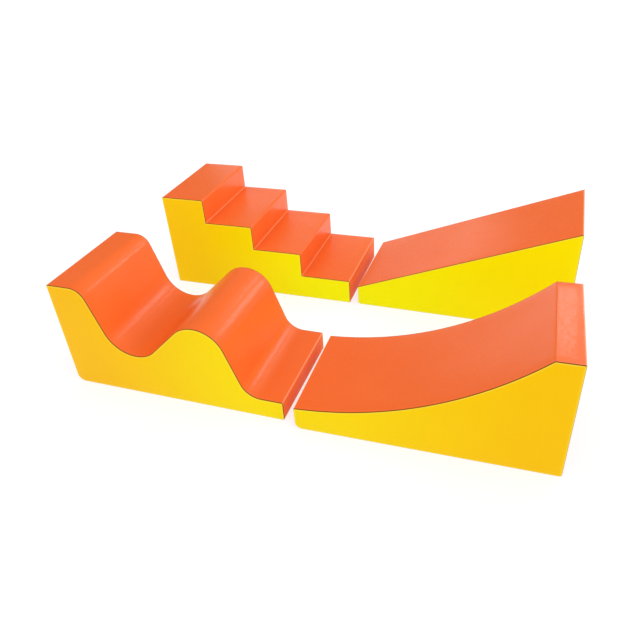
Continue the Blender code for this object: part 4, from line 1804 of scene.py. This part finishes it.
@dataclass(frozen=True)
class Tooth:
    """A moulded tooth of a zip: a waisted pad with a bevelled outer face, measured from the zip's middle."""

    tip: float = 0.0003
    tip_half_width: float = 0.00048
    head_start: float = 0.0007
    head_end: float = 0.0015
    head_half_width: float = 0.00066
    neck: float = 0.0019
    root: float = 0.0029
    neck_half_width: float = 0.00042
    depth: float = 0.0022
    bevel: float = 0.0003
    face_share: float = 0.78  # of its size, left on the bevelled face

    def form(self, side: float) -> tuple[Array, Array]:
        """The tooth about a point in the middle of the zip.

        Args:
            side: 1 for a tooth of the upper tape, -1 for one of the lower tape.

        Returns:
            Its points and its faces.
        """
        right = np.array(
            [
                (self.tip_half_width, self.tip),
                (self.head_half_width, self.head_start),
                (self.head_half_width, self.head_end),
                (self.neck_half_width, self.neck),
                (self.neck_half_width, self.root),
            ]
        )
        outline = np.concatenate([right, right[::-1] * np.array([-1.0, 1.0])])
        middle, half = np.array([0.0, self.head_end]), self.depth / 2
        rings = []
        for out, share in ((-half, 1.0), (half - self.bevel, 1.0), (half, self.face_share)):
            flat = middle + (outline - middle) * share
            rings.append(np.column_stack([flat[:, 0], np.full(len(flat), out), flat[:, 1] * side]))
        faces = tube_faces(len(rings), len(outline))
        return np.concatenate(rings), faces if side < 0 else faces[:, ::-1]


@dataclass(frozen=True)
class Stitch:
    """A stitch: a short round thread that dives into the vinyl at both of its ends."""

    length: float = 0.0029
    radius: float = 0.00026
    rise: float = 0.00020
    dive: float = 0.00042
    rings: int = 7
    ring_points: int = 6

    def form(self) -> tuple[Array, Array]:
        """The stitch about its middle: it rises by one less the square of the share of its half length, and
        dives by that share's fourth power.

        Returns:
            Its points and its faces.
        """
        share = np.linspace(-1.0, 1.0, self.rings)[:, None]
        angles = np.arange(self.ring_points) / self.ring_points * 2 * math.pi
        along = share * self.length / 2
        out = self.rise * (1.0 - share**2) - self.dive * share**4 + self.radius * np.cos(angles)
        points = np.stack(np.broadcast_arrays(along, out, self.radius * np.sin(angles)), axis=2)
        return points.reshape(-1, 3), tube_faces(self.rings, self.ring_points)


@dataclass
class ZipFastener:
    """The zip in the back of a cover: two woven tapes with their teeth, the stitches that hold them, and the
    slider with its puller."""

    name: str
    place: BlockPlace
    size: BlockSize
    spot: ZipPlace
    materials: Materials
    tooth: Tooth = Tooth()
    tooth_pitch: float = 0.0030
    tooth_margin: float = 0.001  # between an end of the opening and the first tooth
    stitch: Stitch = Stitch()
    stitch_pitch: float = 0.0038
    stitch_inset: float = 0.0030  # from the edge of the opening
    tape_thickness: float = 0.0005
    tape_half_gap: float = 0.0009
    tape_waves: tuple[tuple[float, float, float], ...] = ((0.00007, 41.0, 1.0), (0.00005, 97.0, 0.0))
    tape_points: tuple[int, int] = (366, 9)  # along it and across it
    weld_distance: float = 0.00001
    metal_bevel: float = 0.00022
    metal_bevel_segments: int = 2
    metal_bevel_turn: float = math.radians(30.0)  # an edge that turns less stays as it is

    def build(self, solid: dict[str, Object]) -> None:
        """Makes the tapes, the teeth and the stitches, and gives the solid slider and puller their finish.

        Args:
            solid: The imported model's own objects by name.
        """
        for side, part in ((1.0, "upper"), (-1.0, "lower")):
            tape = self._tape(side, part)
            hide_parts(f"{self.name}_zip_{part}_tape")
            self._teeth(side, part)
            self._stitches(side, part)
        for part in ("slider", "puller"):
            self._metal(solid[f"{self.name}_zip_{part}"])

    def _piece(self, name: str, points: Array, faces: Array, material: Material) -> Object:
        """Makes a piece of the zip that stays with its block. Its name comes after the block's."""
        surface = Surface(points, faces, points[:, [0, 2]])
        piece = make_piece(f"{self.name}_{name}", surface, self.place, material)
        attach(piece, f"{self.name}_block")
        return piece

    @staticmethod
    def _row(first: float, last: float, pitch: float, across: float, height: float) -> Array:
        """Places in a row along the block, a pitch apart, all as far from its front and as high up."""
        along = np.arange(first, last, pitch)
        return np.column_stack([along, np.full_like(along, across), np.full_like(along, height)])

    def _tape(self, side: float, part: str) -> Object:
        """A woven tape: flat across, and waving along by slow sines. Of each sine, its height, its radians in
        a metre and its shift between the two tapes are given."""
        spot, size = self.spot, self.size
        start = spot.end_margin - spot.tape_overlap
        along = np.linspace(start, size.length - start, self.tape_points[0])
        across = side * np.linspace(self.tape_half_gap, spot.tape_reach, self.tape_points[1])
        waves = sum(rise * np.sin(along * rate + side * shift) for rise, rate, shift in self.tape_waves)
        behind = size.width - spot.tape_depth - waves
        grid = np.stack(np.broadcast_arrays(along[:, None], behind[:, None], spot.height + across), axis=2)
        cells = grid_faces(np.arange(len(along) * len(across)).reshape(grid.shape[:2]))
        faces = cells if side > 0 else cells[:, ::-1]
        piece = self._piece(f"{part}_tape_cloth", grid.reshape(-1, 3), faces, self.materials.tape)
        thicken(piece, self.tape_thickness)
        piece.modifiers["thickness"].offset = 0.0
        return piece

    def _teeth(self, side: float, part: str) -> None:
        """The teeth of one tape. Those of the upper tape stand half a pitch further on."""
        spot, length = self.spot, self.size.length
        margin = spot.end_margin + self.tooth_margin
        first = margin + self.tooth_pitch / 2 if side > 0 else margin
        across = self.size.width - spot.tape_depth
        places = self._row(first, length - margin, self.tooth_pitch, across, spot.height)
        points, faces = repeated(*self.tooth.form(side), places)
        self._piece(f"{part}_teeth", points, faces, self.materials.teeth)

    def _stitches(self, side: float, part: str) -> None:
        """A row of stitches beside the opening."""
        spot, size = self.spot, self.size
        height = spot.height + side * (spot.opening / 2 + self.stitch_inset)
        last = size.length - spot.end_margin
        places = self._row(spot.end_margin, last, self.stitch_pitch, size.width, height)
        points, faces = repeated(*self.stitch.form(), places)
        self._piece(f"{part}_stitches", points, faces, self.materials.thread)

    def _metal(self, node: Object) -> None:
        """Gives a solid metal piece its finish and softens its edges."""
        node.data.materials.clear()
        node.data.materials.append(self.materials.metal)
        weld = node.modifiers.new("joined", "WELD")
        weld.merge_threshold = self.weld_distance
        bevel = node.modifiers.new("soft_edges", "BEVEL")
        bevel.width, bevel.segments = self.metal_bevel, self.metal_bevel_segments
        bevel.limit_method, bevel.angle_limit = "ANGLE", self.metal_bevel_turn


def hang(data: bpy.types.Light, heading: Vector, place: Triple = (0.0, 0.0, 0.0)) -> None:
    """Puts a lamp at a place, turned to shine along a heading."""
    lamp = bpy.data.objects.new(data.name, data)
    lamp.location = place
    lamp.rotation_euler = heading.to_track_quat("-Z", "Y").to_euler()
    bpy.context.scene.collection.objects.link(lamp)


@dataclass(frozen=True)
class Sun:
    """A far light that shines along a heading and looks as wide as an angle."""

    name: str
    energy: float
    heading: Triple
    width: float = math.radians(60.0)

    def build(self) -> None:
        """Makes the light."""
        data = bpy.data.lights.new(self.name, "SUN")
        data.energy, data.angle = self.energy, self.width
        hang(data, Vector(self.heading))


@dataclass(frozen=True)
class Softbox:
    """A plain rectangle of light that faces a target. Its power is its radiance times its area times pi."""

    name: str
    place: Triple
    size: tuple[float, float]
    radiance: float
    target: Triple = (0.0, 0.0, 0.3)

    def build(self) -> None:
        """Makes the light."""
        data = bpy.data.lights.new(self.name, "AREA")
        data.shape, data.size, data.size_y = "RECTANGLE", *self.size
        data.energy = self.radiance * self.size[0] * self.size[1] * math.pi
        hang(data, Vector(self.target) - Vector(self.place), self.place)


# The key comes softly from the front left and the fill from the right. The softboxes stand behind the set and
# draw the gloss on the bends.
LIGHTS = (
    Sun("key", 0.26, (0.50, 0.75, -0.80)),
    Sun("fill", 0.70, (-0.90, 0.35, -0.35)),
    Softbox("high softbox", (1.3, 9.0, 8.4), (1.9, 3.9), 1.1),
    Softbox("low softbox", (-1.9, 4.6, 1.7), (2.4, 1.4), 0.9),
    Softbox("streak softbox", (3.40, 4.43, 3.0), (1.1, 1.9), 7.5, (1.2, -0.55, 0.6)),
    Softbox("strip softbox", (1.62, 4.42, 3.9), (0.7, 1.2), 6.5, (1.17, -0.56, 0.6)),
)


@dataclass(frozen=True)
class Studio:
    """The floor, the light all round and the camera, which aren't part of the set."""

    camera_place: Triple = (0.9670, -2.8144, 2.0874)
    camera_yaw: float = 0.3728
    camera_pitch: float = -0.5994
    camera_roll: float = -0.074
    lens: float = 34.87  # millimetres
    sensor: float = 36.0  # millimetres
    floor_reach: float = 60.0
    floor_tone: float = 0.36
    floor_roughness: float = 0.9
    floor_glow: float = 0.50  # the light that the floor gives off by itself
    floor_glow_seen: float = 0.20  # what is added where the camera or a reflection sees it
    even_light: float = 0.90
    backdrop_span: Span = (0.04, 0.18)  # the height of a sight line where the backdrop gives way
    ceiling: float = 0.08

    def build(self) -> None:
        """Makes the whole studio."""
        self._camera()
        self._floor()
        for light in LIGHTS:
            light.build()
        self._world()

    def _camera(self) -> None:
        """A camera that looks along its yaw and pitch, and is then rolled about its line of sight."""
        data = bpy.data.cameras.new("camera")
        data.lens, data.sensor_width, data.sensor_height = self.lens, self.sensor, self.sensor
        data.sensor_fit = "HORIZONTAL"
        camera = bpy.data.objects.new("camera", data)
        upwards = Matrix.Rotation(math.pi / 2 + self.camera_pitch, 4, "X")
        turned = Matrix.Rotation(self.camera_yaw, 4, "Z")
        rolled = Matrix.Rotation(self.camera_roll, 4, "Z")
        camera.matrix_world = Matrix.Translation(self.camera_place) @ turned @ upwards @ rolled
        bpy.context.scene.collection.objects.link(camera)
        bpy.context.scene.camera = camera

    def _floor(self) -> None:
        """A wide pale floor that keeps the soft shadow under the blocks."""
        mesh = bpy.data.meshes.new("floor")
        corners = [(-1, -1), (1, -1), (1, 1), (-1, 1)]
        points = [(x * self.floor_reach, y * self.floor_reach, 0.0) for x, y in corners]
        mesh.from_pydata(points, [], [(0, 1, 2, 3)])
        floor = bpy.data.objects.new("floor", mesh)
        bpy.context.scene.collection.objects.link(floor)
        material, nodes, shader = new_material("studio_floor")
        shader.inputs["Base Color"].default_value = (self.floor_tone, self.floor_tone, self.floor_tone, 1.0)
        shader.inputs["Roughness"].default_value = self.floor_roughness
        shader.inputs["Specular IOR Level"].default_value = 0.0
        seen, glossy = self._looks(nodes)
        seen = nodes.maths("MAXIMUM", seen, glossy)
        strength = nodes.maths("MULTIPLY_ADD", seen, self.floor_glow_seen, self.floor_glow)
        glow = nodes.add("Emission", {"Color": WHITE, "Strength": strength})
        both = nodes.add("AddShader", {0: shader.outputs[0], 1: glow.outputs[0]})
        nodes.feed(nodes.tree.nodes["Material Output"], {"Surface": both.outputs[0]})
        mesh.materials.append(material)

    @staticmethod
    def _looks(nodes: Nodes) -> tuple[Socket, Socket]:
        """Whether the camera looks, straight or through something, and whether a reflection does."""
        path = nodes.add("LightPath").outputs
        camera = nodes.maths("MAXIMUM", path["Is Camera Ray"], path["Is Transmission Ray"])
        return camera, path["Is Glossy Ray"]

    def _world(self) -> None:
        """Even light all round. The camera sees white past the floor. Reflections see the same white up to
        the top of the backdrop, and above it a dim ceiling."""
        world = bpy.data.worlds.new("studio_world")
        world.use_nodes = True
        nodes = Nodes(world.node_tree)
        seen, glossy = self._looks(nodes)
        height = nodes.add("SeparateXYZ", {0: nodes.add("TexCoord").outputs["Generated"]}).outputs[2]
        backdrop = nodes.spread(height, *self.backdrop_span, 1.0, self.ceiling)
        even = nodes.maths("MULTIPLY_ADD", glossy, -self.even_light, self.even_light)
        mirrored = nodes.maths("MULTIPLY", glossy, backdrop)
        strength = nodes.maths("MAXIMUM", nodes.maths("MAXIMUM", even, mirrored), seen)
        background = nodes.tree.nodes["Background"]
        background.inputs["Color"].default_value = WHITE
        nodes.feed(background, {"Strength": strength})
        bpy.context.scene.world = world


def main() -> None:
    """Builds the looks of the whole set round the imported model."""
    logging.basicConfig(level=logging.INFO, format="%(message)s")
    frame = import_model()
    bpy.context.scene.view_settings.view_transform = "Standard"
    size, zip_place, materials = BlockSize(), ZipPlace(), Materials.built()
    for name, shape in PROFILES.items():
        profile = shape(size)
        place = BlockPlace.of_block(name, frame["joints"], size, zip_place)
        made = Cover(name, profile, place, materials, zip_place).build()
        LOG.info("%s cover: %d panels", name, len(made))
        core = FoamCore(name, profile, place, materials.foam).build()
        LOG.info("%s: %s", name, core.name)
        ZipFastener(name, place, size, zip_place, materials).build(frame["nodes"])
        LOG.info("%s zip", name)
    Studio().build()


if __name__ == "__main__":
    main()
